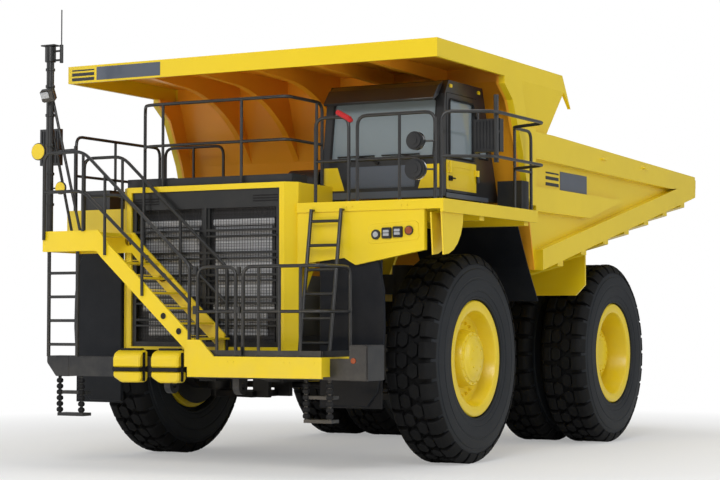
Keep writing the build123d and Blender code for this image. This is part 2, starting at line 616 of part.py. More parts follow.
def deck_equipment():
    """Air cleaners between hood and cab, and the brake and battery cabinets on the decks."""
    pieces = []
    for y in (front(-650), front(-240)):
        pieces.append(drum((130, y, DECK_HEIGHT + 360), "x", 480, 190)
                      + block((200, 540), (y - 120, y + 120), (DECK_HEIGHT, DECK_HEIGHT + 260)))
    pieces.append(block((-2780, -2300), (front(-1380), front(-900)), (DECK_HEIGHT, DECK_HEIGHT + 330)))
    pieces.append(block((-2780, -2000), (front(-300), front(600)), (DECK_HEIGHT, DECK_HEIGHT + 560)))
    pieces.append(block((2450, 2800), (front(760), front(1000)), (DECK_HEIGHT, DECK_HEIGHT + 420)))
    return pieces


TANK_Y = (rear(-2900), rear(-1980))


def side_tanks():
    """Fuel tank on the cab side and hydraulic tank on the far side, strapped to the rails."""
    pieces = []
    for side_x, depth in ((1, 800), (-1, 700)):
        low, high = 940, 1760
        near, far = side_x * (RAIL_OUT + 60), side_x * (RAIL_OUT + 60 + depth)
        tank = Pos((near + far) / 2, sum(TANK_Y) / 2, (low + high) / 2) * Box(depth, TANK_Y[1] - TANK_Y[0], high - low)
        tank = fillet(tank.edges().filter_by(Axis.Y), 130)
        for y in (TANK_Y[0] + 160, TANK_Y[1] - 220):
            tank += block((side_x * RAIL_OUT, side_x * (RAIL_OUT + 200)), (y, y + 60), (low + 180, low + 420))
        pieces.append(tank)
    return pieces


def front_suspension():
    """Struts, their frame brackets and the lower arms that carry the kingpins."""
    pieces = []
    for side_x in (-1, 1):
        x = side_x * KINGPIN_X
        strut = drum((x, FRONT_AXLE, 1900), "z", 660, 140)
        strut += drum((x, FRONT_AXLE, 1600), "z", 320, 90 - RUN)
        strut += block((side_x * (RAIL_IN + 20), x), (FRONT_AXLE - 110, FRONT_AXLE + 110), (2180, 2440))
        strut += block((side_x * (RAIL_IN + 20), side_x * RAIL_OUT), (FRONT_AXLE - 170, FRONT_AXLE + 170), (RAIL_TOP, 2440))
        arm = prism_z([(side_x * RAIL_OUT, FRONT_AXLE - 430), (x, FRONT_AXLE - 100), (x, FRONT_AXLE + 100),
                       (side_x * RAIL_OUT, FRONT_AXLE + 430)], 800, 880)
        arm += drum((x, FRONT_AXLE, 790), "z", 100, 110) + drum((x, FRONT_AXLE, 800), "z", 280, 60 - RUN)
        for y in (FRONT_AXLE - 320, FRONT_AXLE + 240):
            arm += block((side_x * (RAIL_X - 60), side_x * (RAIL_OUT + 60)), (y, y + 80), (800, RAIL_BOTTOM))
        pieces += [strut, arm]
    return pieces


def knuckle(side_x):
    """Kingpin post, spindle with brake drum, and the steering arm."""
    x = side_x * KINGPIN_X
    post = drum((x, FRONT_AXLE, 900), "z", 860, 160)
    start = min(x, side_x * (FRONT_WHEEL_X + 190))
    post += drum((start, FRONT_AXLE, TYRE_R), "x", FRONT_WHEEL_X + 190 - KINGPIN_X, 130 - RUN)
    start = min(side_x * 1640, side_x * 1980)
    post += drum((start, FRONT_AXLE, TYRE_R), "x", 340, 450)
    pin_y = FRONT_AXLE + STEER_ARM
    post += prism_z([(x - 90, FRONT_AXLE), (x + 90, FRONT_AXLE), (x + 60, pin_y), (x - 60, pin_y)], 1000, 1090)
    post += drum((x, pin_y, 1000), "z", 90, 80) + drum((x, pin_y, 900), "z", 120, 40 - RUN)
    post -= drum((x, FRONT_AXLE, 890), "z", 200, 60) + drum((x, FRONT_AXLE, 1590), "z", 200, 90)
    return post


def tie_rod():
    """Track rod between the two steering arms."""
    y = FRONT_AXLE + STEER_ARM
    shape = bar((-KINGPIN_X + 60, y, 947), (KINGPIN_X - 60, y, 947), 45)
    for side_x in (-1, 1):
        shape += drum((side_x * KINGPIN_X, y, 900), "z", 94, 80)
    for side_x in (-1, 1):
        shape -= drum((side_x * KINGPIN_X, y, 890), "z", 110, 40)
    return shape


def rear_axle():
    """Banjo housing with its tubes and spindles, the A-frame to the ball joint and the struts."""
    shape = drum((-930, REAR_AXLE, TYRE_R), "x", 1860, 270)
    shape += revolve(Plane(origin=(0, REAR_AXLE, TYRE_R), x_dir=(1, 0, 0), z_dir=(0, -1, 0))
                     * outline([(-360, 0), (-360, 250), ((0, 470), (360, 250)), (360, 0)]),
                     Axis((0, REAR_AXLE, TYRE_R), (1, 0, 0)), 360)
    for side_x in (-1, 1):
        start = min(side_x * 900, side_x * 2000)
        shape += drum((start, REAR_AXLE, TYRE_R), "x", 1100, 240 - RUN)
        arm = [(side_x * 90, AFRAME_Y), (side_x * 560, rear(-240)), (side_x * 640, rear(60)),
               (side_x * 440, rear(60)), (side_x * -90, AFRAME_Y + 120), (side_x * -90, AFRAME_Y)]
        shape += prism_z(arm, AFRAME_Z - 80, AFRAME_Z + 80)
        strut = drum((side_x * STRUT_X, STRUT_Y, 1700), "z", STRUT_TOP - 1700, 105)
        strut += drum((side_x * STRUT_X, STRUT_Y, 1480), "z", 240, 75)
        strut += block((side_x * (STRUT_X - 100), side_x * (STRUT_X + 100)), (REAR_AXLE + 100, STRUT_Y + 100), (1380, 1490))
        shape += strut
    return shape


def driveline():
    """Transmission between the rails and the shaft to the rear axle."""
    shape = block((-RAIL_IN, RAIL_IN), (front(1900), front(2900)), (1150, 1750))
    shape += drum((0, front(1155), 1500), "y", 745, 90)
    shape += drum((0, front(2900), TYRE_R), "y", WHEELBASE - 2900 - 480, 85)
    return shape


def wheel_chocks():
    """Two wheel chocks stowed on the face of the bumper."""
    pieces = []
    face = BUMPER_FACE - SEAT
    wedge = [(face, 1060), (face, 1500), (face - 60, 1500), (NOSE, 1280), (NOSE, 1060)]
    for x in (-960, -420):
        pieces.append(prism_x(wedge, x - 240, x + 240))
    return pieces


# ---------------------------------------------------------------- dump body
# Side profile of the body, (y, z): floor line at the walls, top edge and front wall.
FLOOR_FRONT = (front(1900), 2600)
FLOOR_TAIL = (TAIL - 90, 3890)
TOP_FRONT = (front(1960), 4380)
TOP_TAIL = (TAIL - 40, 4230)
V_DEPTH = 150
FLOOR_SLOPE = (FLOOR_TAIL[1] - FLOOR_FRONT[1]) / (FLOOR_TAIL[0] - FLOOR_FRONT[0])
OUTER_HALF = INSIDE_HALF + PLATE
CANOPY_FRONT = front(-1700)
CANOPY_LOW = CANOPY_TOP - 230
# Knees under the cab guard: x, start along the guard, middle of the curve (y, z), height of the foot
KNEES = ((-1650, -700, (480, 4700), 4110), (-850, -700, (480, 4700), 4110), (0, -700, (480, 4700), 4110),
         (850, 600, (850, 4640), 4300), (1650, 600, (850, 4640), 4300))
# Front wall, outer face from the top down.
WALL_LINE = [(front(800), CANOPY_LOW), (front(1120), 4100), (front(1330), 3300), (front(1600), 2290)]
WALL_DEPTH = 52
# Side lip of the cab guard.
LIP = [(CANOPY_FRONT, CANOPY_LOW), (CANOPY_FRONT, CANOPY_TOP), (front(2280), CANOPY_TOP), (front(2580), 4810),
       (front(2330), CANOPY_LOW)]
SPLASH_Y = rear(-1550)
SPLASH_PANEL = [(1000, 2980), (OUTER_HALF, 2980), (OUTER_HALF, 2350), (2500, 2200), (1000, 2200)]


def floor_z(y):
    return FLOOR_FRONT[1] + FLOOR_SLOPE * (y - FLOOR_FRONT[0])


def wall_y(z):
    """Place of the front wall's outer face at a height, on its upper run."""
    (top_y, top_z), (knee_y, knee_z) = WALL_LINE[:2]
    return top_y + (top_z - z) * (knee_y - top_y) / (top_z - knee_z)


def trough(cross):
    """A section of the body run along the slope of its floor."""
    run = hypot(1, FLOOR_SLOPE)
    start = FLOOR_FRONT[0] - 1200
    plane = Plane(origin=(0, start, floor_z(start)), x_dir=(-1, 0, 0), z_dir=(0, 1 / run, FLOOR_SLOPE / run))
    return extrude(plane * outline(cross), 9600)


def body_volume():
    """Everything inside the outer faces of the floor and the side walls."""
    tall = 3200
    return trough([(-OUTER_HALF, 0), (0, -V_DEPTH), (OUTER_HALF, 0), (OUTER_HALF, tall), (-OUTER_HALF, tall)])


def bed_tub():
    """Floor, side walls and sloping front wall, as one open-topped shell."""
    tall = 3200
    hollow = trough([(-INSIDE_HALF, PLATE), (0, PLATE - V_DEPTH), (INSIDE_HALF, PLATE), (INSIDE_HALF, tall),
                     (-INSIDE_HALF, tall)])
    volume = body_volume()
    low = [(front(1600), 2290), (TAIL - 60, 3600)]
    top = [TOP_TAIL, TOP_FRONT, (wall_y(TOP_FRONT[1]), TOP_FRONT[1])]
    shell = (volume - hollow) & prism_x(low + top + WALL_LINE[1:3], -BODY_HALF, BODY_HALF)
    back = [(y + WALL_DEPTH, z) for y, z in reversed(WALL_LINE)]
    return shell + (prism_x(WALL_LINE + back, -OUTER_HALF, OUTER_HALF) & volume)


def bed_canopy():
    """Cab guard: a plate with deep lips, knees down to the front wall and flared side wings."""
    rear_edge = WALL_LINE[0][0] + 100
    plate_low = CANOPY_TOP - 40
    shape = block((-BODY_HALF, BODY_HALF), (CANOPY_FRONT, rear_edge), (plate_low, CANOPY_TOP))
    shape += block((-BODY_HALF, BODY_HALF), (CANOPY_FRONT, CANOPY_FRONT + 40), (CANOPY_LOW, plate_low))
    shape += block((-BODY_HALF, BODY_HALF), (rear_edge - 100, rear_edge), (CANOPY_LOW, plate_low))
    for x, start, (via_y, via_z), foot_z in KNEES:
        knee = [(CANOPY_FRONT + 40, CANOPY_LOW + 60), (front(start), CANOPY_LOW + 10),
                ((front(via_y), via_z), (wall_y(foot_z), foot_z)), WALL_LINE[0], (rear_edge - 100, plate_low),
                (CANOPY_FRONT + 40, plate_low)]
        shape += prism_x(knee, x - 45, x + 45)
    for side_x in (-1, 1):
        shape += prism_x(LIP, side_x * (BODY_HALF - PLATE), side_x * BODY_HALF)
    return shape


def canopy_flanks():
    """Wings that carry the cab guard's side lips: a cut flank and a panel up from the side wall."""
    top_z = TOP_FRONT[1]
    back_y = wall_y(top_z) + WALL_DEPTH
    flank = [(front(300), CANOPY_LOW), (front(300), 4920), (front(560), 4730), (front(720), 4410), (front(880), 4090),
             (front(1110), 3380), (front(1330), 3380), (front(1330), top_z + 40),
             (wall_y(top_z + 40) + WALL_DEPTH, top_z + 40), (wall_y(CANOPY_LOW) + WALL_DEPTH, CANOPY_LOW)]
    side = [(back_y, top_z), (wall_y(CANOPY_LOW) + WALL_DEPTH, CANOPY_LOW), (front(2330), CANOPY_LOW),
            (TOP_FRONT[0], top_z)]
    wings = []
    for side_x in (-1, 1):
        section = [(side_x * (OUTER_HALF - PLATE), top_z), (side_x * OUTER_HALF, top_z),
                   (side_x * BODY_HALF, CANOPY_LOW), (side_x * (BODY_HALF - PLATE), CANOPY_LOW)]
        wing = prism_x(flank, side_x * OUTER_HALF, side_x * BODY_HALF)
        wing += prism_y(section, front(500), front(2500)) & prism_x(side, -BODY_HALF, BODY_HALF)
        wings.append(wing - prism_x(LIP, side_x * (BODY_HALF - PLATE), side_x * BODY_HALF))
    return wings


def low_rail():
    """Side profile of the rail along the foot of each side wall."""
    start = front(1560)
    return [(start, floor_z(start) - 10), (start, floor_z(start) + 270), (TAIL, floor_z(TAIL) + 270),
            (TAIL - 30, floor_z(TAIL) - 20)]


def bed_side_rails():
    """Box rails along both side walls: top rail, middle rail and the rail at the floor."""
    front_y = front(1330)
    top = [(front_y, TOP_FRONT[1]), TOP_FRONT, TOP_TAIL, (TAIL, 4050), (front(6900), 3960), (front_y, 4020)]
    low = low_rail()
    middle = [(front_y, 3640), (front(4700), 3640), (front(3300), 3310), (front_y, 3310)]
    rails = []
    for side_x in (-1, 1):
        rail = fuse([prism_x(profile, side_x * OUTER_HALF, side_x * BODY_HALF) for profile in (top, low, middle)])
        rails += rail.solids()
    return rails


def bed_ribs():
    """Bolsters under the floor, longitudinal beams, hoist lugs, hinge lugs and splash panels."""
    pieces = []
    # Bolsters that follow the V of the floor.
    edge = BODY_HALF - 30
    for index in range(7):
        y = front(2150) + index * 880
        z = floor_z(y)
        bolster = [(-edge, z + 90), (edge, z + 90), (edge, z - 60), (2000, z - 250), (0, z - V_DEPTH - 190),
                   (-2000, z - 250), (-edge, z - 60)]
        pieces.append(prism_y(bolster, y, y + 200))
    pivot_y, pivot_z = BED_PIVOT
    beam = [(front(1900), floor_z(front(1900)) - 60), (front(2100), 2240), (front(2500), 2130), (pivot_y + 250, 2130),
            (pivot_y + 900, floor_z(pivot_y + 900) - 60)]
    lug = [(pivot_y - 420, 2420), (pivot_y - 130, pivot_z - 60), ((pivot_y, pivot_z - 150), (pivot_y + 130, pivot_z - 60)),
           (pivot_y + 420, 2420)]
    eye_y, eye_z = HOIST_EYE
    hoist_lug = [(eye_y - 260, floor_z(eye_y) - 40), (eye_y - 90, eye_z), ((eye_y, eye_z - 100), (eye_y + 90, eye_z)),
                 (eye_y + 260, floor_z(eye_y) - 40)]
    for side_x in (-1, 1):
        pieces.append(prism_x(beam, side_x * (RAIL_X - 60), side_x * (RAIL_X + 60)))
        pieces.append(prism_x(lug, side_x * (RAIL_OUT + 8), side_x * (RAIL_OUT + 98)))
        pieces.append(block((side_x * RAIL_X, side_x * (RAIL_OUT + 98)), (pivot_y - 400, pivot_y + 400), (2300, 2420)))
        for offset in (-135, 105):
            x = side_x * HOIST_X + offset
            pieces.append(prism_x(hoist_lug, x, x + 30))
        # The pin shows as its two heads; its middle turns with the rod's eye.
        for start in (-165, 135):
            pieces.append(drum((side_x * HOIST_X + start, eye_y, eye_z), "x", 30, HOIST_PIN + 15))
        # Splash panel ahead of the rear tyres.
        pieces.append(prism_y([(side_x * x, z) for x, z in SPLASH_PANEL], SPLASH_Y, SPLASH_Y + 40))
    ribs = fuse(pieces)
    for side_x in (-1, 1):
        start = min(side_x * (RAIL_OUT + 4), side_x * (RAIL_OUT + 130))
        ribs -= drum((start, pivot_y, pivot_z), "x", 126, PIVOT_PIN)
        ribs -= prism_x(low_rail(), side_x * OUTER_HALF, side_x * BODY_HALF)
    return ribs - body_volume()


# ---------------------------------------------------------------- wheels
TYRE_PROFILE = [(-255, RIM_RADIUS), (-255, RIM_RADIUS + 85), (-325, RIM_RADIUS + 110), (-TYRE_WIDTH / 2, 960), (-350, 1180), (-305, 1300),
                (-250, TYRE_R), (250, TYRE_R), (305, 1300), (350, 1180), (TYRE_WIDTH / 2, 960), (325, RIM_RADIUS + 110),
                (255, RIM_RADIUS + 85), (255, RIM_RADIUS)]


def tyre(side, wheel_x, axle_y):
    return turned(TYRE_PROFILE, side, wheel_x, axle_y)


def front_rim(side):
    """Rim barrel with flanges, a dished disc and the domed hub."""
    seat = RIM_RADIUS - SEAT
    profile = [(-300, 590), (-300, 715), (-256, 715), (-256, seat), (256, seat), (256, 715), (300, 715), (300, 600),
               (120, 590), (90, 440), (150, 360), (270, 330), (320, 250), (340, 120), (340, 0), (195, 0), (195, 130),
               (-100, 130), (-100, 300), (30, 440), (40, 590)]
    return turned(profile, side, FRONT_WHEEL_X, FRONT_AXLE)


def rear_rim(side):
    """One long barrel for both tyres, with the final-drive cover deep inside the outer dish."""
    seat = RIM_RADIUS - SEAT
    gap = DUAL_PITCH
    profile = [(-gap - 300, 590), (-gap - 300, 715), (-gap - 256, 715), (-gap - 256, seat), (-gap + 256, seat),
               (-gap + 256, 715), (-256, 715), (-256, seat), (256, seat), (256, 715), (300, 715), (300, 600),
               (-60, 590), (-80, 400), (60, 390), (70, 330), (110, 310), (110, 0), (-165, 0), (-165, 240),
               (-420, 240), (-420, 380), (-160, 420), (-140, 590)]
    return turned(profile, side, OUTER_WHEEL_X, REAR_AXLE)


# ---------------------------------------------------------------- hoists
HOIST_CLOSED = hypot(HOIST_EYE[0] - HOIST_BASE[0], HOIST_EYE[1] - HOIST_BASE[1])
BARREL_R, STAGE_R, ROD_R = 140, 115, 88


def along_hoist(side_x, distance):
    share = distance / HOIST_CLOSED
    return (side_x * HOIST_X, HOIST_BASE[0] + (HOIST_EYE[0] - HOIST_BASE[0]) * share,
            HOIST_BASE[1] + (HOIST_EYE[1] - HOIST_BASE[1]) * share)


def hoist_tube(side_x, start, end, radius, bore, floor):
    """A tube along the hoist's line, closed at its foot."""
    shape = bar(along_hoist(side_x, start), along_hoist(side_x, end), radius)
    return shape - bar(along_hoist(side_x, start + floor), along_hoist(side_x, end + 10), bore)


def hoist_barrel(side_x):
    shape = hoist_tube(side_x, 80, HOIST_CLOSED - 210, BARREL_R, STAGE_R + SEAT, 40)
    x = side_x * HOIST_X
    shape += drum((x - 60, *HOIST_BASE), "x", 120, 110)
    return shape - drum((x - 70, *HOIST_BASE), "x", 140, HOIST_PIN)


def hoist_stage(side_x):
    return hoist_tube(side_x, 125, HOIST_CLOSED - 160, STAGE_R, ROD_R + SEAT, 40)


def hoist_rod(side_x):
    shape = bar(along_hoist(side_x, 170), along_hoist(side_x, HOIST_CLOSED - 40), ROD_R)
    x = side_x * HOIST_X
    shape += drum((x - 90, *HOIST_EYE), "x", 180, 95)
    return shape + drum((x - 99, *HOIST_EYE), "x", 198, HOIST_PIN)


# ---------------------------------------------------------------- nodes
NODES = {
    "frame_rails": frame_rails,
    "front_bumper": front_bumper,
    "front_walkway": front_walkway,
    "diagonal_stairs": diagonal_stairs,
    "hood_shell": hood_shell,
    "grille_guard": grille_guard,
    "radiator": radiator,
    "engine_block": engine_block,
    "cab_shell": cab_shell,
    "cab_glass": cab_glass,
    "cab_console": cab_console,
    "cab_seats": cab_seats,
    "cab_door": cab_door,
    "door_glass": door_glass,
    "cab_deck": cab_deck,
    "right_deck": right_deck,
    "mud_guards": mud_guards,
    "left_handrails": left_handrails,
    "right_handrails": right_handrails,
    "hood_handrails": hood_handrails,
    "front_handrails": front_handrails,
    "access_ladders": access_ladders,
    "hanging_steps": hanging_steps,
    "mirrors": mirrors,
    "mast": mast,
    "deck_equipment": deck_equipment,
    "side_tanks": side_tanks,
    "front_suspension": front_suspension,
    "tie_rod": tie_rod,
    "rear_axle": rear_axle,
    "driveline": driveline,
    "wheel_chocks": wheel_chocks,
    "bed_tub": bed_tub,
    "bed_canopy": bed_canopy,
    "canopy_flanks": canopy_flanks,
    "bed_side_rails": bed_side_rails,
    "bed_ribs": bed_ribs,
}
SIDES = (("left", 1), ("right", -1))
for name, side_sign in SIDES:
    NODES[f"{name}_knuckle"] = lambda s=side_sign: knuckle(s)
    NODES[f"front_{name}_tyre"] = lambda s=side_sign: tyre(s, FRONT_WHEEL_X, FRONT_AXLE)
    NODES[f"front_{name}_rim"] = lambda s=side_sign: front_rim(s)
    NODES[f"rear_{name}_tyres"] = lambda s=side_sign: [tyre(s, INNER_WHEEL_X, REAR_AXLE),
                                                       tyre(s, OUTER_WHEEL_X, REAR_AXLE)]
    NODES[f"rear_{name}_rim"] = lambda s=side_sign: rear_rim(s)
    NODES[f"{name}_hoist_barrel"] = lambda s=side_sign: hoist_barrel(s)
    NODES[f"{name}_hoist_stage"] = lambda s=side_sign: hoist_stage(s)
    NODES[f"{name}_hoist_rod"] = lambda s=side_sign: hoist_rod(s)

os.makedirs("parts", exist_ok=True)
for node, make in NODES.items():
    made = make()
    whole = Compound(children=made) if isinstance(made, list) else made
    export_step(whole, f"parts/{node}.step")
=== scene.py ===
"""Visual model of a rigid mining dump truck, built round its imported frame."""

from __future__ import annotations

import json
import logging
import math
from dataclasses import dataclass, field
from enum import Enum
from typing import Any, Iterable, Sequence

import bmesh
import bpy
from mathutils import Matrix, Vector

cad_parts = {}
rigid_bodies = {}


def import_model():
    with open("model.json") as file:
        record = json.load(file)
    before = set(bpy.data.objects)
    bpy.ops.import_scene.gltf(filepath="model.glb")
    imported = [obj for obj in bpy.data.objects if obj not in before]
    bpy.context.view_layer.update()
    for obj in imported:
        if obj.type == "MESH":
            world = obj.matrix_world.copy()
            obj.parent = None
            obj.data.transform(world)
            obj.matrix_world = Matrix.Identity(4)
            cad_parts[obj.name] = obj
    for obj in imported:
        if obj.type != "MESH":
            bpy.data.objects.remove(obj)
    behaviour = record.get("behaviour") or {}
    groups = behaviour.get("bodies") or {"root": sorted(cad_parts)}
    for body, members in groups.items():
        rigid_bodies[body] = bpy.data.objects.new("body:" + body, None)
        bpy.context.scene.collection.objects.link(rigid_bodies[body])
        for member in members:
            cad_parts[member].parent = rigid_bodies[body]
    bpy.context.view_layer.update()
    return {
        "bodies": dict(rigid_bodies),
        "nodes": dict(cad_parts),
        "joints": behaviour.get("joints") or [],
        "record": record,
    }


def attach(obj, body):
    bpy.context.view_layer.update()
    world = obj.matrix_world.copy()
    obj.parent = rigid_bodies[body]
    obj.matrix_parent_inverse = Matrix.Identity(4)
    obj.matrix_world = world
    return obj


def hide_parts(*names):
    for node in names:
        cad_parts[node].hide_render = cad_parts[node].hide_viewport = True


LOG = logging.getLogger("dump_truck")
Point = Sequence[float]
Colour = tuple[float, float, float]
Material = bpy.types.Material
Piece = bpy.types.Object

# Measures of the frame that several pieces share, in metres.
FRONT_AXLE = -2.645
REAR_AXLE = 2.305
NOSE = -5.495
TYRE_RADIUS = 1.345
FRONT_TYRE_X, INNER_TYRE_X, OUTER_TYRE_X = 2.1625, 1.33, 2.17
HOOD_X = -0.43
HOOD_FRONT = FRONT_AXLE - 1.93
HOOD_TOP = 3.56
DECK_Z = 3.26
WALKWAY_Z = 1.40
LANDING_Z = 2.97
STAIR_FOOT = (0.18, 1.39)
STAIR_SLOPE = 1.39 / -1.54
DECK_FRONT = FRONT_AXLE - 1.86
CANOPY_FRONT = FRONT_AXLE - 1.70


def front(y: float) -> float:
    """Place along the truck, counted back from the front axle."""
    return FRONT_AXLE + y


def stair_line(x: float) -> float:
    """Height of the stairs' line at a place across the truck."""
    return STAIR_FOOT[1] + (x - STAIR_FOOT[0]) * STAIR_SLOPE


class Slot(Enum):
    """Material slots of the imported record."""

    YELLOW = "yellow_paint"
    BLACK = "black_paint"
    GREY = "dark_grey_paint"
    TYRE = "tyre_rubber"
    SHEET = "sheet_rubber"
    GLASS = "tinted_glass"
    FABRIC = "seat_fabric"
    PLASTIC = "cab_plastic"
    CORE = "radiator_core"
    IRON = "engine_iron"
    CHROME = "hoist_chrome"


# ------------------------------------------------------------------ shader maths
class Wire:
    """One socket of a shader tree, with arithmetic that adds Math nodes."""

    def __init__(self, graph: "Graph", socket: bpy.types.NodeSocket) -> None:
        """Keep the tree and the socket."""
        self.graph = graph
        self.socket = socket

    def math(self, operation: str, *others: Any, swap: bool = False, clamp: bool = False) -> "Wire":
        """Add one Math node.

        Args:
            operation: the node's operation.
            others: further operands.
            swap: put this wire second.
            clamp: keep the result between 0 and 1.

        Returns:
            The node's result.
        """
        values = [*others, self] if swap else [self, *others]
        made = self.graph.node("ShaderNodeMath", {"operation": operation, "use_clamp": clamp},
                               dict(enumerate(values)))
        return Wire(self.graph, made.outputs[0])

    def __add__(self, other: Any) -> "Wire":
        """Sum."""
        return self.math("ADD", other)

    __radd__ = __add__

    def __sub__(self, other: Any) -> "Wire":
        """Difference."""
        return self.math("SUBTRACT", other)

    def __rsub__(self, other: Any) -> "Wire":
        """Reflected difference."""
        return self.math("SUBTRACT", other, swap=True)

    def __mul__(self, other: Any) -> "Wire":
        """Product."""
        return self.math("MULTIPLY", other)

    __rmul__ = __mul__

    def __truediv__(self, other: Any) -> "Wire":
        """Quotient."""
        return self.math("DIVIDE", other)

    def between(self, low: float, high: float) -> "Wire":
        """Share of the way from low to high, kept between 0 and 1."""
        return ((self - low) / (high - low)).math("ADD", 0.0, clamp=True)


class Graph:
    """A material's node tree."""

    def __init__(self, name: str) -> None:
        """Start an empty tree with an output and a Principled shader."""
        self.material = bpy.data.materials.new(name)
        self.material.use_nodes = True
        self.tree = self.material.node_tree
        self.tree.nodes.clear()
        self.shader = self.node("ShaderNodeBsdfPrincipled")
        self.output = self.node("ShaderNodeOutputMaterial", None,
                                {"Surface": Wire(self, self.shader.outputs[0])})

    def node(self, kind: str, settings: dict[str, Any] | None = None,
             sockets: dict[Any, Any] | None = None) -> bpy.types.Node:
        """Add a node.

        Args:
            kind: the node's type.
            settings: attributes, which are set first.
            sockets: values or wires by the socket's name or number.

        Returns:
            The new node.
        """
        made = self.tree.nodes.new(kind)
        for key, value in (settings or {}).items():
            setattr(made, key, value)
        for key, value in (sockets or {}).items():
            if isinstance(value, Wire):
                self.tree.links.new(value.socket, made.inputs[key])
            else:
                made.inputs[key].default_value = value
        return made

    def place(self) -> Wire:
        """Object coordinates, in metres of the frame."""
        return Wire(self, self.node("ShaderNodeTexCoord").outputs["Object"])

    def axis(self, index: int) -> Wire:
        """One of the object coordinates."""
        parts = self.node("ShaderNodeSeparateXYZ", None, {0: self.place()})
        return Wire(self, parts.outputs[index])

    def noise(self, scale: float, detail: float = 3.0, rough: float = 0.55,
              stretch: Point = (1, 1, 1)) -> Wire:
        """Noise between 0 and 1 at a scale in cells per metre."""
        moved = self.node("ShaderNodeMapping", None, {"Vector": self.place(), "Scale": tuple(stretch)})
        made = self.node("ShaderNodeTexNoise", None, {
            "Vector": Wire(self, moved.outputs[0]), "Scale": scale, "Detail": detail, "Roughness": rough})
        return Wire(self, made.outputs[0])

    def blend(self, factor: Any, first: Any, second: Any) -> Wire:
        """Mix two colours."""
        made = self.node("ShaderNodeMix", {"data_type": "RGBA"}, {0: factor, 6: first, 7: second})
        return Wire(self, made.outputs[2])

    def relief(self, height: Wire, strength: float, distance: float) -> None:
        """Feed a height to the shader's normal."""
        bump = self.node("ShaderNodeBump", None,
                         {"Height": height, "Strength": strength, "Distance": distance})
        self.feed("Normal", Wire(self, bump.outputs[0]))

    def feed(self, name: str, value: Any) -> None:
        """Set or link one socket of the Principled shader."""
        if isinstance(value, Wire):
            self.tree.links.new(value.socket, self.shader.inputs[name])
        else:
            self.shader.inputs[name].default_value = value


def rgba(colour: Colour, share: float = 1.0) -> tuple[float, float, float, float]:
    """A colour with its strength changed and full alpha."""
    return (*[min(1.0, part * share) for part in colour], 1.0)


# ------------------------------------------------------------------ finishes
DUST: Colour = (0.36, 0.32, 0.26)


@dataclass(frozen=True)
class Paint:
    """Sprayed paint with slow colour drift, orange peel and a little road dust low down."""

    name: str
    colour: Colour
    rough: float = 0.34
    coat: float = 0.15
    dust: float = 0.12

    def material(self) -> Material:
        """Build the material."""
        graph = Graph(self.name)
        drift = graph.noise(0.8, 2.0)
        blotch = graph.noise(5.0, 4.0)
        low = 1.0 - graph.axis(2).between(0.2, 2.6)
        film = (low * 0.8 + 0.2) * blotch.between(0.38, 0.75) * self.dust
        clean = graph.blend(drift, rgba(self.colour, 0.93), rgba(self.colour, 1.05))
        graph.feed("Base Color", graph.blend(film, clean, rgba(DUST)))
        graph.feed("Roughness", film * 0.5 + blotch * 0.10 + (self.rough - 0.05))
        graph.feed("Coat Weight", self.coat)
        graph.feed("Coat Roughness", 0.12)
        graph.relief(graph.noise(160.0, 1.0), 0.05, 0.002)
        return graph.material


@dataclass(frozen=True)
class SplitPaint:
    """Dark cab paint that changes to yellow below a line, with a dark sill."""

    name: str
    upper: Colour
    lower: Colour
    line: float
    sill: float

    def material(self) -> Material:
        """Build the material."""
        graph = Graph(self.name)
        height = graph.axis(2)
        drift = graph.noise(1.1, 2.0)
        top = graph.blend(drift, rgba(self.upper, 0.9), rgba(self.upper, 1.1))
        low = graph.blend(drift, rgba(self.lower, 0.95), rgba(self.lower, 1.04))
        is_low = 1.0 - height.between(self.line, self.line + 0.002)
        is_sill = 1.0 - height.between(self.sill, self.sill + 0.002)
        mask = is_low * (1.0 - is_sill)
        graph.feed("Base Color", graph.blend(mask, top, low))
        graph.feed("Roughness", graph.noise(7.0, 3.0) * 0.12 + 0.28)
        graph.feed("Coat Weight", 0.3)
        graph.relief(graph.noise(150.0, 1.0), 0.05, 0.002)
        return graph.material


@dataclass(frozen=True)
class GuardShadePaint:
    """Body paint whose stretch under the cab guard and on the front wall is a warmer, orange tone: painted
    shade.
    """

    name: str
    outer: Colour
    painted_shade: Colour
    plate: float = 5.214
    lip: float = -4.300
    half: float = 2.68
    wall: tuple[tuple[float, float], ...] = ((-1.845, 5.02), (-1.525, 4.10), (-1.315, 3.30))
    skin: float = 0.025
    edge: float = 0.001

    def material(self) -> Material:
        """Build the material."""
        graph = Graph(self.name)
        x, y, z = graph.axis(0), graph.axis(1), graph.axis(2)
        below = 1.0 - z.between(self.plate, self.plate + self.edge)
        behind = y.between(self.lip - self.edge, self.lip)
        inside = 1.0 - x.math("ABSOLUTE").between(self.half, self.half + self.edge)
        # The front wall bends at a knee; the painted shade starts inside the thickness of its plate.
        height = z.math("MINIMUM", self.wall[0][1])
        runs = []
        for (top_y, top_z), (low_y, low_z) in zip(self.wall, self.wall[1:]):
            runs.append((top_z - height) * ((low_y - top_y) / (top_z - low_z)) + top_y)
        wall = runs[0].math("MINIMUM", runs[1]) + self.skin
        ahead = 1.0 - (y - wall).between(-self.edge, 0.0)
        drift, blotch = graph.noise(0.8, 2.0), graph.noise(5.0, 4.0)
        outer = graph.blend(drift, rgba(self.outer, 0.93), rgba(self.outer, 1.05))
        inner = graph.blend(drift, rgba(self.painted_shade, 0.90), rgba(self.painted_shade, 1.05))
        # Inside the mask the base colour is the orange painted shade instead of the plain yellow.
        graph.feed("Base Color", graph.blend(below * behind * inside * ahead, outer, inner))
        graph.feed("Roughness", blotch * 0.12 + 0.30)
        graph.feed("Coat Weight", 0.12)
        graph.feed("Coat Roughness", 0.12)
        graph.relief(graph.noise(160.0, 1.0), 0.05, 0.002)
        return graph.material


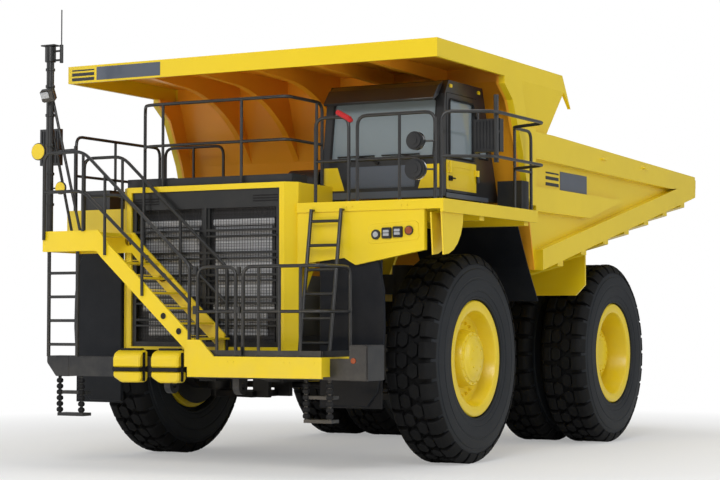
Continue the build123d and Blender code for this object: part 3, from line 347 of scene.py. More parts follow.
@dataclass(frozen=True)
class Rubber:
    """Moulded rubber with dust in its pores and fine mould grain."""

    name: str
    colour: Colour
    dust: float = 0.3
    rough: float = 0.72
    grain: float = 90.0
    sheen: float = 0.2

    def material(self) -> Material:
        """Build the material."""
        graph = Graph(self.name)
        cloud = graph.noise(3.5, 5.0, 0.6)
        speck = graph.noise(45.0, 3.0, 0.7)
        film = (cloud.between(0.4, 0.8) * 0.7 + speck.between(0.5, 0.8) * 0.3) * self.dust
        graph.feed("Base Color", graph.blend(film, rgba(self.colour), rgba((0.15, 0.155, 0.16))))
        graph.feed("Roughness", film * 0.3 + cloud * 0.12 + (self.rough - 0.08))
        graph.feed("Specular IOR Level", self.sheen)
        graph.relief(graph.noise(self.grain, 4.0, 0.6) + speck * 0.5, 0.25, 0.004)
        return graph.material


@dataclass(frozen=True)
class Steel:
    """Bare or coated metal with brushing along one axis."""

    name: str
    colour: Colour
    rough: float = 0.3
    metal: float = 1.0
    stretch: tuple[float, float, float] = (60.0, 60.0, 2.0)

    def material(self) -> Material:
        """Build the material."""
        graph = Graph(self.name)
        brush = graph.noise(6.0, 4.0, 0.6, self.stretch)
        graph.feed("Base Color", graph.blend(brush, rgba(self.colour, 0.82), rgba(self.colour, 1.1)))
        graph.feed("Roughness", brush * 0.18 + (self.rough - 0.06))
        graph.feed("Metallic", self.metal)
        graph.relief(brush, 0.08, 0.001)
        return graph.material


@dataclass(frozen=True)
class Fins:
    """Cooling core: fine upright fins crossed by tube rows, with painted shade darkening the gaps between
    them.
    """

    name: str
    colour: Colour
    pitch: float = 0.012

    def material(self) -> Material:
        """Build the material."""
        graph = Graph(self.name)
        fins = (graph.axis(0) * (2 * math.pi / self.pitch)).math("SINE") * 0.5 + 0.5
        rows = (graph.axis(2) * (2 * math.pi / 0.055)).math("SINE") * 0.5 + 0.5
        depth = fins * 0.6 + rows.between(0.55, 0.8) * 0.4
        stain = graph.noise(4.0, 4.0)
        # Painted shade: the gaps between fins and tube rows are darker; the noise adds stains.
        gap_shade_and_stain = depth * 0.75 + stain * 0.25
        graph.feed("Base Color", graph.blend(gap_shade_and_stain, rgba(self.colour, 0.35), rgba(self.colour, 1.15)))
        graph.feed("Metallic", 0.35)
        graph.feed("Roughness", stain * 0.2 + 0.45)
        graph.relief(depth, 0.5, 0.006)
        return graph.material


@dataclass(frozen=True)
class Pane:
    """Tinted glass, clear enough to show what lies behind it."""

    name: str
    colour: Colour
    alpha: float = 0.5

    def material(self) -> Material:
        """Build the material."""
        graph = Graph(self.name)
        haze = graph.noise(2.5, 3.0)
        graph.feed("Base Color", rgba(self.colour))
        graph.feed("Roughness", haze * 0.06 + 0.02)
        graph.feed("Alpha", haze * 0.08 + (self.alpha - 0.04))
        graph.feed("Coat Weight", 0.5)
        return graph.material


@dataclass(frozen=True)
class Lens:
    """Lamp lens with moulded flutes."""

    name: str
    colour: Colour

    def material(self) -> Material:
        """Build the material."""
        graph = Graph(self.name)
        flutes = (graph.axis(0) * 420.0).math("SINE") * 0.5 + 0.5
        graph.feed("Base Color", graph.blend(flutes, rgba(self.colour, 0.75), rgba(self.colour, 1.1)))
        graph.feed("Roughness", flutes * 0.1 + 0.08)
        graph.feed("Coat Weight", 0.8)
        graph.relief(flutes, 0.4, 0.002)
        return graph.material


@dataclass(frozen=True)
class Cloth:
    """Woven seat cloth."""

    name: str
    colour: Colour

    def material(self) -> Material:
        """Build the material."""
        graph = Graph(self.name)
        warp = (graph.axis(0) * 2200.0).math("SINE") * 0.5 + 0.5
        weft = (graph.axis(1) * 2200.0 + graph.axis(2) * 2200.0).math("SINE") * 0.5 + 0.5
        weave = warp * weft
        fade = graph.noise(6.0, 3.0)
        graph.feed("Base Color",
                   graph.blend(weave * 0.5 + fade * 0.5, rgba(self.colour, 0.6), rgba(self.colour, 1.5)))
        graph.feed("Roughness", fade * 0.1 + 0.85)
        graph.feed("Sheen Weight", 0.3)
        graph.relief(weave, 0.4, 0.002)
        return graph.material


YELLOW: Colour = (0.80, 0.590, 0.008)
CHARCOAL: Colour = (0.009, 0.0105, 0.0135)


def coat(finish: Any) -> Any:
    """A field that builds a finish's material when the set is made."""
    return field(default_factory=finish.material)


@dataclass(frozen=True)
class Finishes:
    """Every material of the truck, built once."""

    yellow: Material = coat(Paint("yellow_enamel", YELLOW))
    # The guard paint carries painted shade: an orange tone under the cab guard and on the front wall.
    guard: Material = coat(GuardShadePaint("guard_enamel_painted_shade", YELLOW, (0.90, 0.41, 0.022)))
    charcoal: Material = coat(Paint("charcoal_enamel", CHARCOAL, rough=0.42, coat=0.15))
    rail: Material = coat(Paint("rail_enamel", (0.009, 0.010, 0.011), rough=0.40, coat=0.2, dust=0.1))
    chassis: Material = coat(Paint("chassis_enamel", (0.004, 0.0042, 0.005), rough=0.6, coat=0.0, dust=0.04))
    steel_blue: Material = coat(Paint("blue_grey_panel", (0.075, 0.092, 0.125), rough=0.38, coat=0.3,
                                      dust=0.05))
    cab: Material = coat(Paint("cab_enamel", (0.014, 0.015, 0.017), rough=0.33, coat=0.35, dust=0.08))
    door: Material = coat(SplitPaint("door_enamel", (0.013, 0.014, 0.016), YELLOW, 3.86, 3.49))
    red: Material = coat(Paint("red_enamel", (0.45, 0.012, 0.015), rough=0.35, dust=0.05))
    tread: Material = coat(Rubber("tread_rubber", (0.0035, 0.0037, 0.0042), dust=0.05))
    # The sidewall rubber is lighter and bluer than the tread: painted sheen, standing in for the blue-grey
    # highlights on the sidewalls.
    sidewall: Material = coat(Rubber("sidewall_rubber_painted_sheen", (0.013, 0.0155, 0.019), dust=0.07, rough=0.55,
                                     grain=140.0))
    flap: Material = coat(Rubber("flap_rubber", (0.007, 0.0085, 0.012), dust=0.06, rough=0.42, grain=30.0))
    seal: Material = coat(Rubber("seal_rubber", (0.012, 0.012, 0.013), dust=0.1))
    core: Material = coat(Fins("cooling_core", (0.44, 0.45, 0.47)))
    dark_core: Material = coat(Fins("shaded_core", (0.05, 0.05, 0.055)))
    bright: Material = coat(Steel("bright_steel", (0.62, 0.63, 0.65)))
    chrome: Material = coat(Steel("rod_chrome", (0.82, 0.83, 0.85), rough=0.12))
    iron: Material = coat(Steel("engine_casting", (0.16, 0.16, 0.15), rough=0.6, metal=0.4,
                                stretch=(8, 8, 8)))
    mirror: Material = coat(Steel("mirror_glass", (0.85, 0.86, 0.88), rough=0.07, stretch=(1, 1, 1)))
    glass: Material = coat(Pane("cab_glass_tint", (0.27, 0.33, 0.365), 0.72))
    clear_lens: Material = coat(Lens("clear_lens", (0.42, 0.44, 0.47)))
    amber_lens: Material = coat(Lens("amber_lens", (0.32, 0.062, 0.012)))
    plastic: Material = coat(Rubber("grained_plastic", (0.03, 0.03, 0.032), dust=0.05, rough=0.6,
                                    grain=400.0))
    cloth: Material = coat(Cloth("seat_cloth", (0.05, 0.05, 0.055)))


# ------------------------------------------------------------------ mesh building
class Shape:
    """Gathers closed solids of one piece.

    Edges to be softened are kept in a dict, as a set's order would change from run to run.
    """

    def __init__(self) -> None:
        """Start with nothing."""
        self.mesh = bmesh.new()

    def box(self, low: Point, high: Point, bevel: float = 0.0, turn: Matrix | None = None) -> "Shape":
        """Add a box with softened edges.

        Args:
            low: lowest corner.
            high: highest corner.
            bevel: width of the edge.
            turn: rotation about the box's centre.

        Returns:
            This shape.
        """
        size = Vector(high) - Vector(low)
        centre = (Vector(high) + Vector(low)) / 2
        spin = turn.to_4x4() if turn is not None else Matrix.Identity(4)
        made = bmesh.ops.create_cube(self.mesh, size=1.0,
                                     matrix=Matrix.Translation(centre) @ spin @ Matrix.Diagonal((*size, 1.0)))
        if bevel:
            edges = dict.fromkeys(edge for vert in made["verts"] for edge in vert.link_edges)
            bmesh.ops.bevel(self.mesh, geom=list(edges), offset=bevel, segments=2, affect="EDGES")
        return self

    def prism(self, ring: Sequence[Point], run: Point, bevel: float = 0.0) -> "Shape":
        """Add a closed outline carried along a run.

        Args:
            ring: corners of the outline.
            run: vector from the first face to the second.
            bevel: width of the edge.

        Returns:
            This shape.
        """
        first = [self.mesh.verts.new(corner) for corner in ring]
        second = [self.mesh.verts.new(Vector(corner) + Vector(run)) for corner in ring]
        faces = [self.mesh.faces.new(first), self.mesh.faces.new(list(reversed(second)))]
        count = len(ring)
        for index in range(count):
            after = (index + 1) % count
            faces.append(self.mesh.faces.new((first[after], first[index], second[index], second[after])))
        bmesh.ops.recalc_face_normals(self.mesh, faces=faces)
        if bevel:
            edges = dict.fromkeys(edge for face in faces for edge in face.edges)
            bmesh.ops.bevel(self.mesh, geom=list(edges), offset=bevel, segments=1, affect="EDGES")
        return self

    def lathe(self, profile: Sequence[tuple[float, float]], centre: Point, side: float = 1.0,
              steps: int = 96) -> "Shape":
        """Add a closed profile turned about a line along X.

        Args:
            profile: (offset along X, radius) corners; it closes on itself or on the axis.
            centre: a point of the axis.
            side: 1 or -1, which way offsets run.
            steps: facets of the circle.

        Returns:
            This shape.
        """
        middle = Vector(centre)
        rings = []
        for offset, radius in profile:
            x = middle.x + side * offset
            if radius < 1e-6:
                rings.append([self.mesh.verts.new((x, middle.y, middle.z))])
            else:
                angles = [2 * math.pi * step / steps for step in range(steps)]
                rings.append([self.mesh.verts.new((x, middle.y + radius * math.cos(a),
                                                   middle.z + radius * math.sin(a)))
                              for a in angles])
        faces = []
        pairs = list(zip(rings, rings[1:] + rings[:1]))
        if len(rings[0]) == 1 and len(rings[-1]) == 1:
            pairs = pairs[:-1]
        for one, two in pairs:
            for step in range(steps):
                after = (step + 1) % steps
                if len(one) == 1:
                    faces.append(self.mesh.faces.new((one[0], two[step], two[after])))
                elif len(two) == 1:
                    faces.append(self.mesh.faces.new((one[after], one[step], two[0])))
                else:
                    faces.append(self.mesh.faces.new((one[step], two[step], two[after], one[after])))
        bmesh.ops.recalc_face_normals(self.mesh, faces=faces)
        return self

    def tube(self, path: Sequence[Point], radius: float, sides: int = 10, bend: float = 0.0) -> "Shape":
        """Add a round bar along a path.

        Args:
            path: corners of the run.
            radius: of the bar.
            sides: facets round the bar.
            bend: radius of the corners.

        Returns:
            This shape.
        """
        points = round_corners([Vector(corner) for corner in path], bend)
        rings, up = [], Vector((0.0, 0.0, 1.0))
        for index, point in enumerate(points):
            before, after = points[max(index - 1, 0)], points[min(index + 1, len(points) - 1)]
            run = (after - before).normalized()
            across = run.cross(up if abs(run.dot(up)) < 0.95 else Vector((0.0, 1.0, 0.0))).normalized()
            if rings:
                across = (last - run * last.dot(run)).normalized()
            last = across
            other = run.cross(across)
            rings.append([self.mesh.verts.new(point + radius * (math.cos(a) * across + math.sin(a) * other))
                          for a in (2 * math.pi * side / sides for side in range(sides))])
        faces = [self.mesh.faces.new(rings[0]), self.mesh.faces.new(list(reversed(rings[-1])))]
        for one, two in zip(rings, rings[1:]):
            for side in range(sides):
                after = (side + 1) % sides
                faces.append(self.mesh.faces.new((one[side], two[side], two[after], one[after])))
        bmesh.ops.recalc_face_normals(self.mesh, faces=faces)
        return self

    def rod(self, start: Point, end: Point, radius: float, sides: int = 20, bevel: float = 0.0) -> "Shape":
        """Add a straight round bar whose rims may be softened."""
        a, b = Vector(start), Vector(end)
        run = (b - a).normalized()
        if not bevel:
            return self.tube((a, b), radius, sides)
        across = run.orthogonal().normalized()
        other = run.cross(across)
        rows = ((a, radius - bevel), (a + run * bevel, radius), (b - run * bevel, radius),
                (b, radius - bevel))
        rings = [[self.mesh.verts.new(p + r * (math.cos(t) * across + math.sin(t) * other))
                  for t in (2 * math.pi * side / sides for side in range(sides))] for p, r in rows]
        faces = [self.mesh.faces.new(rings[0]), self.mesh.faces.new(list(reversed(rings[-1])))]
        for one, two in zip(rings, rings[1:]):
            for side in range(sides):
                after = (side + 1) % sides
                faces.append(self.mesh.faces.new((one[side], two[side], two[after], one[after])))
        bmesh.ops.recalc_face_normals(self.mesh, faces=faces)
        return self

    def build(self, name: str, finish: Material, angle: float = 35.0) -> Piece:
        """Make the object.

        Args:
            name: of the piece.
            finish: its material.
            angle: edges sharper than this stay crisp.

        Returns:
            The object, linked to the scene.
        """
        data = bpy.data.meshes.new(name)
        self.mesh.to_mesh(data)
        self.mesh.free()
        data.materials.append(finish)
        for polygon in data.polygons:
            polygon.use_smooth = True
        data.set_sharp_from_angle(angle=math.radians(angle))
        made = bpy.data.objects.new(name, data)
        bpy.context.scene.collection.objects.link(made)
        return made


def round_corners(points: list[Vector], bend: float) -> list[Vector]:
    """Swap each inner corner of a path for a short arc."""
    if bend <= 0 or len(points) < 3:
        return points
    out = [points[0]]
    for before, here, after in zip(points, points[1:], points[2:]):
        back, ahead = before - here, after - here
        reach = min(bend, back.length * 0.45, ahead.length * 0.45)
        start, end = here + back.normalized() * reach, here + ahead.normalized() * reach
        for t in (0.0, 0.25, 0.5, 0.75, 1.0):
            out.append(start * (1 - t) ** 2 + here * 2 * t * (1 - t) + end * t * t)
    return out + [points[-1]]


class Repeater:
    """Geometry Nodes trees that copy one piece round a ring or along a row."""

    def __init__(self) -> None:
        """Build both trees."""
        self.ring_tree = self._ring_tree()
        self.row_tree = self._row_tree()

    @staticmethod
    def _start(name: str, inputs: Iterable[tuple[str, str]]
               ) -> tuple[bpy.types.NodeTree, bpy.types.Node, bpy.types.Node]:
        """Open a tree with named inputs and one geometry output."""
        tree = bpy.data.node_groups.new(name, "GeometryNodeTree")
        tree.interface.new_socket("Geometry", in_out="OUTPUT", socket_type="NodeSocketGeometry")
        for label, kind in inputs:
            tree.interface.new_socket(label, in_out="INPUT", socket_type=kind)
        return tree, tree.nodes.new("NodeGroupInput"), tree.nodes.new("NodeGroupOutput")

    def _ring_tree(self) -> bpy.types.NodeTree:
        """Copies turned round an axis through a centre."""
        tree, given, out = self._start("ring_of_copies", (
            ("Piece", "NodeSocketObject"), ("Count", "NodeSocketInt"), ("Phase", "NodeSocketFloat"),
            ("Axis", "NodeSocketVector"), ("Centre", "NodeSocketVector"), ("Finish", "NodeSocketMaterial")))
        new, link = tree.nodes.new, tree.links.new
        points, info = new("GeometryNodePoints"), new("GeometryNodeObjectInfo")
        index, share, angle = new("GeometryNodeInputIndex"), new("ShaderNodeMath"), new("ShaderNodeMath")
        turn = new("FunctionNodeAxisAngleToRotation")
        copies, real = new("GeometryNodeInstanceOnPoints"), new("GeometryNodeRealizeInstances")
        move, paint = new("GeometryNodeTransform"), new("GeometryNodeSetMaterial")
        share.operation, angle.operation = "DIVIDE", "MULTIPLY_ADD"
        link(given.outputs["Count"], points.inputs["Count"])
        link(given.outputs["Piece"], info.inputs["Object"])
        link(index.outputs[0], share.inputs[0])
        link(given.outputs["Count"], share.inputs[1])
        link(share.outputs[0], angle.inputs[0])
        angle.inputs[1].default_value = 2 * math.pi
        link(given.outputs["Phase"], angle.inputs[2])
        link(given.outputs["Axis"], turn.inputs["Axis"])
        link(angle.outputs[0], turn.inputs["Angle"])
        link(points.outputs[0], copies.inputs["Points"])
        link(info.outputs["Geometry"], copies.inputs["Instance"])
        link(turn.outputs[0], copies.inputs["Rotation"])
        link(copies.outputs[0], real.inputs[0])
        link(real.outputs[0], move.inputs["Geometry"])
        link(given.outputs["Centre"], move.inputs["Translation"])
        link(move.outputs[0], paint.inputs["Geometry"])
        link(given.outputs["Finish"], paint.inputs["Material"])
        link(paint.outputs[0], out.inputs[0])
        return tree

    def _row_tree(self) -> bpy.types.NodeTree:
        """Copies stepped along a line."""
        tree, given, out = self._start("row_of_copies", (
            ("Piece", "NodeSocketObject"), ("Count", "NodeSocketInt"), ("Start", "NodeSocketVector"),
            ("Step", "NodeSocketVector"), ("Finish", "NodeSocketMaterial")))
        new, link = tree.nodes.new, tree.links.new
        line, info = new("GeometryNodeMeshLine"), new("GeometryNodeObjectInfo")
        copies, real = new("GeometryNodeInstanceOnPoints"), new("GeometryNodeRealizeInstances")
        paint = new("GeometryNodeSetMaterial")
        link(given.outputs["Count"], line.inputs["Count"])
        link(given.outputs["Start"], line.inputs["Start Location"])
        link(given.outputs["Step"], line.inputs["Offset"])
        link(given.outputs["Piece"], info.inputs["Object"])
        link(line.outputs[0], copies.inputs["Points"])
        link(info.outputs["Geometry"], copies.inputs["Instance"])
        link(copies.outputs[0], real.inputs[0])
        link(real.outputs[0], paint.inputs["Geometry"])
        link(given.outputs["Finish"], paint.inputs["Material"])
        link(paint.outputs[0], out.inputs[0])
        return tree

    @staticmethod
    def _run(tree: bpy.types.NodeTree, name: str, values: dict[str, Any]) -> Piece:
        """Run a tree on an empty carrier and keep the result as a plain mesh."""
        carrier = bpy.data.objects.new(name, bpy.data.meshes.new(name))
        bpy.context.scene.collection.objects.link(carrier)
        modifier = carrier.modifiers.new("copies", "NODES")
        modifier.node_group = tree
        for item in tree.interface.items_tree:
            if item.in_out == "INPUT":
                modifier[item.identifier] = values[item.name]
        depsgraph = bpy.context.evaluated_depsgraph_get()
        data = bpy.data.meshes.new_from_object(carrier.evaluated_get(depsgraph))
        carrier.modifiers.clear()
        carrier.data = data
        data.name = name
        source = values["Piece"]
        bpy.data.objects.remove(source, do_unlink=True)
        return carrier

    def ring(self, name: str, piece: Piece, count: int, centre: Point, finish: Material,
             axis: Point = (1, 0, 0), phase: float = 0.0) -> Piece:
        """Copy a piece round an axis.

        Args:
            name: of the result.
            piece: the first copy, drawn about the origin; it is used up.
            count: number of copies.
            centre: a point of the axis.
            finish: material of the copies.
            axis: direction of the axis.
            phase: angle of the first copy.

        Returns:
            One plain mesh object.
        """
        return self._run(self.ring_tree, name, {
            "Piece": piece, "Count": count, "Phase": phase, "Axis": tuple(map(float, axis)),
            "Centre": tuple(map(float, centre)), "Finish": finish})

    def row(self, name: str, piece: Piece, count: int, start: Point, step: Point,
            finish: Material) -> Piece:
        """Copy a piece along a line.

        Args:
            name: of the result.
            piece: the piece, drawn about the origin; it is used up.
            count: number of copies.
            start: place of the first copy.
            step: from one copy to the next.
            finish: material of the copies.

        Returns:
            One plain mesh object.
        """
        return self._run(self.row_tree, name, {
            "Piece": piece, "Count": count, "Start": tuple(map(float, start)),
            "Step": tuple(map(float, step)),
            "Finish": finish})


@dataclass
class Workshop:
    """What every sub-assembly needs: finishes and the copying trees."""

    finishes: Finishes
    copies: Repeater

    def keep(self, piece: Piece, slot: Slot, body: str = "chassis", replaces: Sequence[str] = ()) -> None:
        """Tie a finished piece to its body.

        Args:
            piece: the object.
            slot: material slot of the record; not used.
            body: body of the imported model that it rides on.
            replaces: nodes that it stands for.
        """
        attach(piece, body)
        if replaces:
            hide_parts(*replaces)
        LOG.info("%s on %s: %d faces", piece.name, body, len(piece.data.polygons))

    def add(self, shape: Shape, name: str, finish: Material, slot: Slot, body: str = "chassis",
            replaces: Sequence[str] = ()) -> None:
        """Build a shape and keep it.

        Args:
            shape: the solids of the piece.
            name: of the piece.
            finish: its material.
            slot: material slot of the record.
            body: body that it rides on.
            replaces: nodes that it stands for.
        """
        self.keep(shape.build(name, finish), slot, body, replaces)


def mirrored(points: Iterable[tuple[float, float]]) -> list[tuple[float, float]]:
    """A half profile and its mirror image, in one run."""
    half = list(points)
    return [(-offset, radius) for offset, radius in half] + list(reversed(half))


SIDES: tuple[tuple[str, int], ...] = (("left", 1), ("right", -1))


# ------------------------------------------------------------------ wheels
@dataclass
class Tyres:
    """Bias tyres with stepped sidewalls, shoulder lugs and a block tread."""

    shop: Workshop
    radius: float = TYRE_RADIUS
    groove: float = 0.062
    lugs: int = 32
    lug_width: float = 0.200

    def carcass(self, name: str, x: float, y: float) -> Piece:
        """Sidewalls with their concentric steps.

        Args:
            name: of the piece.
            x: middle of the tyre.
            y: place of the axle.

        Returns:
            The closed ring.
        """
        half = [(0.250, 0.641), (0.252, 0.757), (0.300, 0.760), (0.330, 0.764), (0.338, 0.772),
                (0.341, 0.780),
                (0.337, 0.800), (0.343, 0.806), (0.352, 0.850), (0.350, 0.868), (0.357, 0.874),
                (0.366, 0.950),
                (0.367, 1.010), (0.361, 1.018), (0.361, 1.036), (0.366, 1.044), (0.362, 1.110),
                (0.355, 1.150),
                (0.344, 1.160), (0.338, 1.205), (0.300, 1.262), (0.240, 1.279)]
        return Shape().lathe(mirrored(half), (x, y, TYRE_RADIUS), 1,
                             144).build(name, self.shop.finishes.sidewall, 28.0)

    def band(self, name: str, x: float, y: float) -> Piece:
        """Belt of rubber at the foot of the tread."""
        low, high = 1.24, self.radius - self.groove
        half = [(0.10, low), (0.296, low), (0.302, 1.258), (0.268, high - 0.004), (0.22, high)]
        return Shape().lathe(mirrored(half), (x, y, TYRE_RADIUS), 1,
                             144).build(name, self.shop.finishes.tread, 30.0)

    def lug(self, side: int) -> Piece:
        """One shoulder lug that runs over the edge and down the sidewall."""
        top = self.radius
        outline = [(0.146, top - self.groove - 0.02), (0.158, top), (0.247, top), (0.284, 1.322),
                   (0.318, 1.280),
                   (0.342, 1.235), (0.347, 1.212), (0.332, 1.212), (0.296, 1.256)]
        ring = [(side * x, r, -self.lug_width / 2) for x, r in outline]
        lug = Shape().prism(ring, (0.0, 0.0, self.lug_width), 0.006)
        return lug.build("shoulder_lug", self.shop.finishes.tread, 30.0)

    def block(self, column: float) -> Piece:
        """One six-sided tread block in a column at an offset from the middle."""
        low, top = self.radius - self.groove - 0.02, self.radius - 0.002
        corners = ((-0.066, -0.060), (0.0, -0.104), (0.066, -0.060), (0.066, 0.060), (0.0, 0.104),
                   (-0.066, 0.060))
        ring = [(column + x, low, z) for x, z in corners]
        block = Shape().prism(ring, (0.0, top - low, 0.0), 0.005)
        return block.build("tread_block", self.shop.finishes.tread, 30.0)

    def make(self) -> None:
        """Build all six tyres."""
        pitch = 2 * math.pi / self.lugs
        for label, side in SIDES:
            front_set = (f"front_{label}_wheel", f"front_{label}_tyre")
            rear_set = (f"rear_{label}_wheels", f"rear_{label}_tyres")
            places = ((f"front_{label}", *front_set, side * FRONT_TYRE_X, FRONT_AXLE),
                      (f"rear_{label}_inner", *rear_set, side * INNER_TYRE_X, REAR_AXLE),
                      (f"rear_{label}_outer", *rear_set, side * OUTER_TYRE_X, REAR_AXLE))
            for name, body, node, x, y in places:
                centre = (x, y, TYRE_RADIUS)
                keep, ring, tread = self.shop.keep, self.shop.copies.ring, self.shop.finishes.tread
                keep(self.carcass(f"{name}_tyre_walls", x, y), Slot.TYRE, body, replaces=(node,))
                keep(self.band(f"{name}_tyre_belt", x, y), Slot.TYRE, body)
                for edge, shoulder in ((1, "left"), (-1, "right")):
                    lugs = ring(f"{name}_{shoulder}_shoulder_lugs", self.lug(edge), self.lugs, centre, tread,
                                phase=pitch / 2 if edge > 0 else 0.0)
                    keep(lugs, Slot.TYRE, body)
                for index, column in enumerate((-0.072, 0.072)):
                    blocks = ring(f"{name}_tread_blocks_{index}", self.block(column), self.lugs, centre,
                                  tread,
                                  phase=pitch / 2 if index % 2 else 0.0)
                    keep(blocks, Slot.TYRE, body)


@dataclass
class Rims:
    """Steel rims: dished discs with nuts, front hubs and rear final-drive covers."""

    shop: Workshop
    front_nuts: int = 24
    cover_bolts: int = 16

    def nuts(self, name: str, body: str, centre: Point, side: int, offset: float, radius: float, count: int,
             size: float) -> None:
        """Ring of nuts facing outboard.

        Args:
            name: of the piece.
            body: body that it rides on.
            centre: a point of the axle at the middle of the tyre.
            side: 1 for the left of the truck.
            offset: of the seat of the nuts, outboard of the centre.
            radius: of the ring.
            count: number of nuts.
            size: radius of a nut.
        """
        shape = Shape()
        shape.rod((side * (offset - 0.01), radius, 0.0), (side * (offset + 0.006), radius, 0.0), size * 1.35,
                  14)
        shape.rod((side * offset, radius, 0.0), (side * (offset + size * 1.1), radius, 0.0), size, 6)
        shape.rod((side * offset, radius, 0.0), (side * (offset + size * 1.7), radius, 0.0), size * 0.5, 8)
        piece = shape.build("nut", self.shop.finishes.yellow, 25.0)
        made = self.shop.copies.ring(name, piece, count, centre, self.shop.finishes.yellow)
        self.shop.keep(made, Slot.YELLOW, body)

    def make(self) -> None:
        """Build the four rims."""
        flange = [(0.256, 0.6397), (0.256, 0.728), (0.264, 0.742), (0.284, 0.751), (0.306, 0.748),
                  (0.320, 0.735),
                  (0.325, 0.714), (0.322, 0.640), (0.312, 0.618), (0.285, 0.604)]
        for label, side in SIDES:
            body, name = f"front_{label}_wheel", f"front_{label}"
            centre = (side * FRONT_TYRE_X, FRONT_AXLE, TYRE_RADIUS)
            profile = [(0.195, 0.0), (0.195, 0.1305), (-0.10, 0.1305), (-0.10, 0.30), (0.03, 0.44),
                       (0.04, 0.588),
                       (-0.30, 0.590), (-0.303, 0.70), (-0.29, 0.716), (-0.262, 0.716), (-0.256, 0.70),
                       (-0.256, 0.6397)]
            profile += flange + [(0.135, 0.588), (0.118, 0.575), (0.112, 0.545), (0.112, 0.405),
                                 (0.125, 0.378),
                                 (0.165, 0.362), (0.255, 0.348), (0.272, 0.338), (0.276, 0.305),
                                 (0.292, 0.292),
                                 (0.306, 0.250), (0.318, 0.235), (0.330, 0.180), (0.338, 0.110), (0.341, 0.0)]
            disc = Shape().lathe(profile, centre, side, 120)
            rim = disc.build(f"{name}_wheel_rim", self.shop.finishes.yellow, 32.0)
            self.shop.keep(rim, Slot.YELLOW, body, replaces=(f"front_{label}_rim",))
            self.nuts(f"{name}_wheel_nuts", body, centre, side, 0.112, 0.470, self.front_nuts, 0.021)
            self.nuts(f"{name}_hub_bolts", body, centre, side, 0.272, 0.318, 16, 0.010)
            self.nuts(f"{name}_hub_cap_bolts", body, centre, side, 0.330, 0.150, 8, 0.009)
            body, name = f"rear_{label}_wheels", f"rear_{label}"
            centre = (side * OUTER_TYRE_X, REAR_AXLE, TYRE_RADIUS)
            gap = -0.84
            profile = [(-0.165, 0.0), (-0.165, 0.2405), (-0.42, 0.2405), (-0.42, 0.38), (-0.16, 0.42),
                       (-0.14, 0.588),
                       (gap - 0.30, 0.590), (gap - 0.302, 0.70), (gap - 0.262, 0.716), (gap - 0.256, 0.6397),
                       (gap + 0.256, 0.6397), (gap + 0.262, 0.713), (-0.262, 0.713), (-0.256, 0.6397)]
            profile += flange + [(-0.02, 0.592), (-0.052, 0.580), (-0.060, 0.550), (-0.072, 0.410),
                                 (-0.060, 0.398),
                                 (0.048, 0.392), (0.060, 0.382), (0.066, 0.338), (0.074, 0.326),
                                 (0.098, 0.314),
                                 (0.108, 0.300), (0.108, 0.205), (0.116, 0.195), (0.116, 0.0)]
            disc = Shape().lathe(profile, centre, side, 120)
            rim = disc.build(f"{name}_wheel_rim", self.shop.finishes.yellow, 32.0)
            self.shop.keep(rim, Slot.YELLOW, body, replaces=(f"rear_{label}_rim",))
            self.nuts(f"{name}_wheel_nuts", body, centre, side, -0.067, 0.485, 24, 0.021)
            self.nuts(f"{name}_cover_bolts", body, centre, side, 0.108, 0.272, self.cover_bolts, 0.013)
            self.nuts(f"{name}_drive_bolts", body, centre, side, 0.062, 0.358, 20, 0.011)


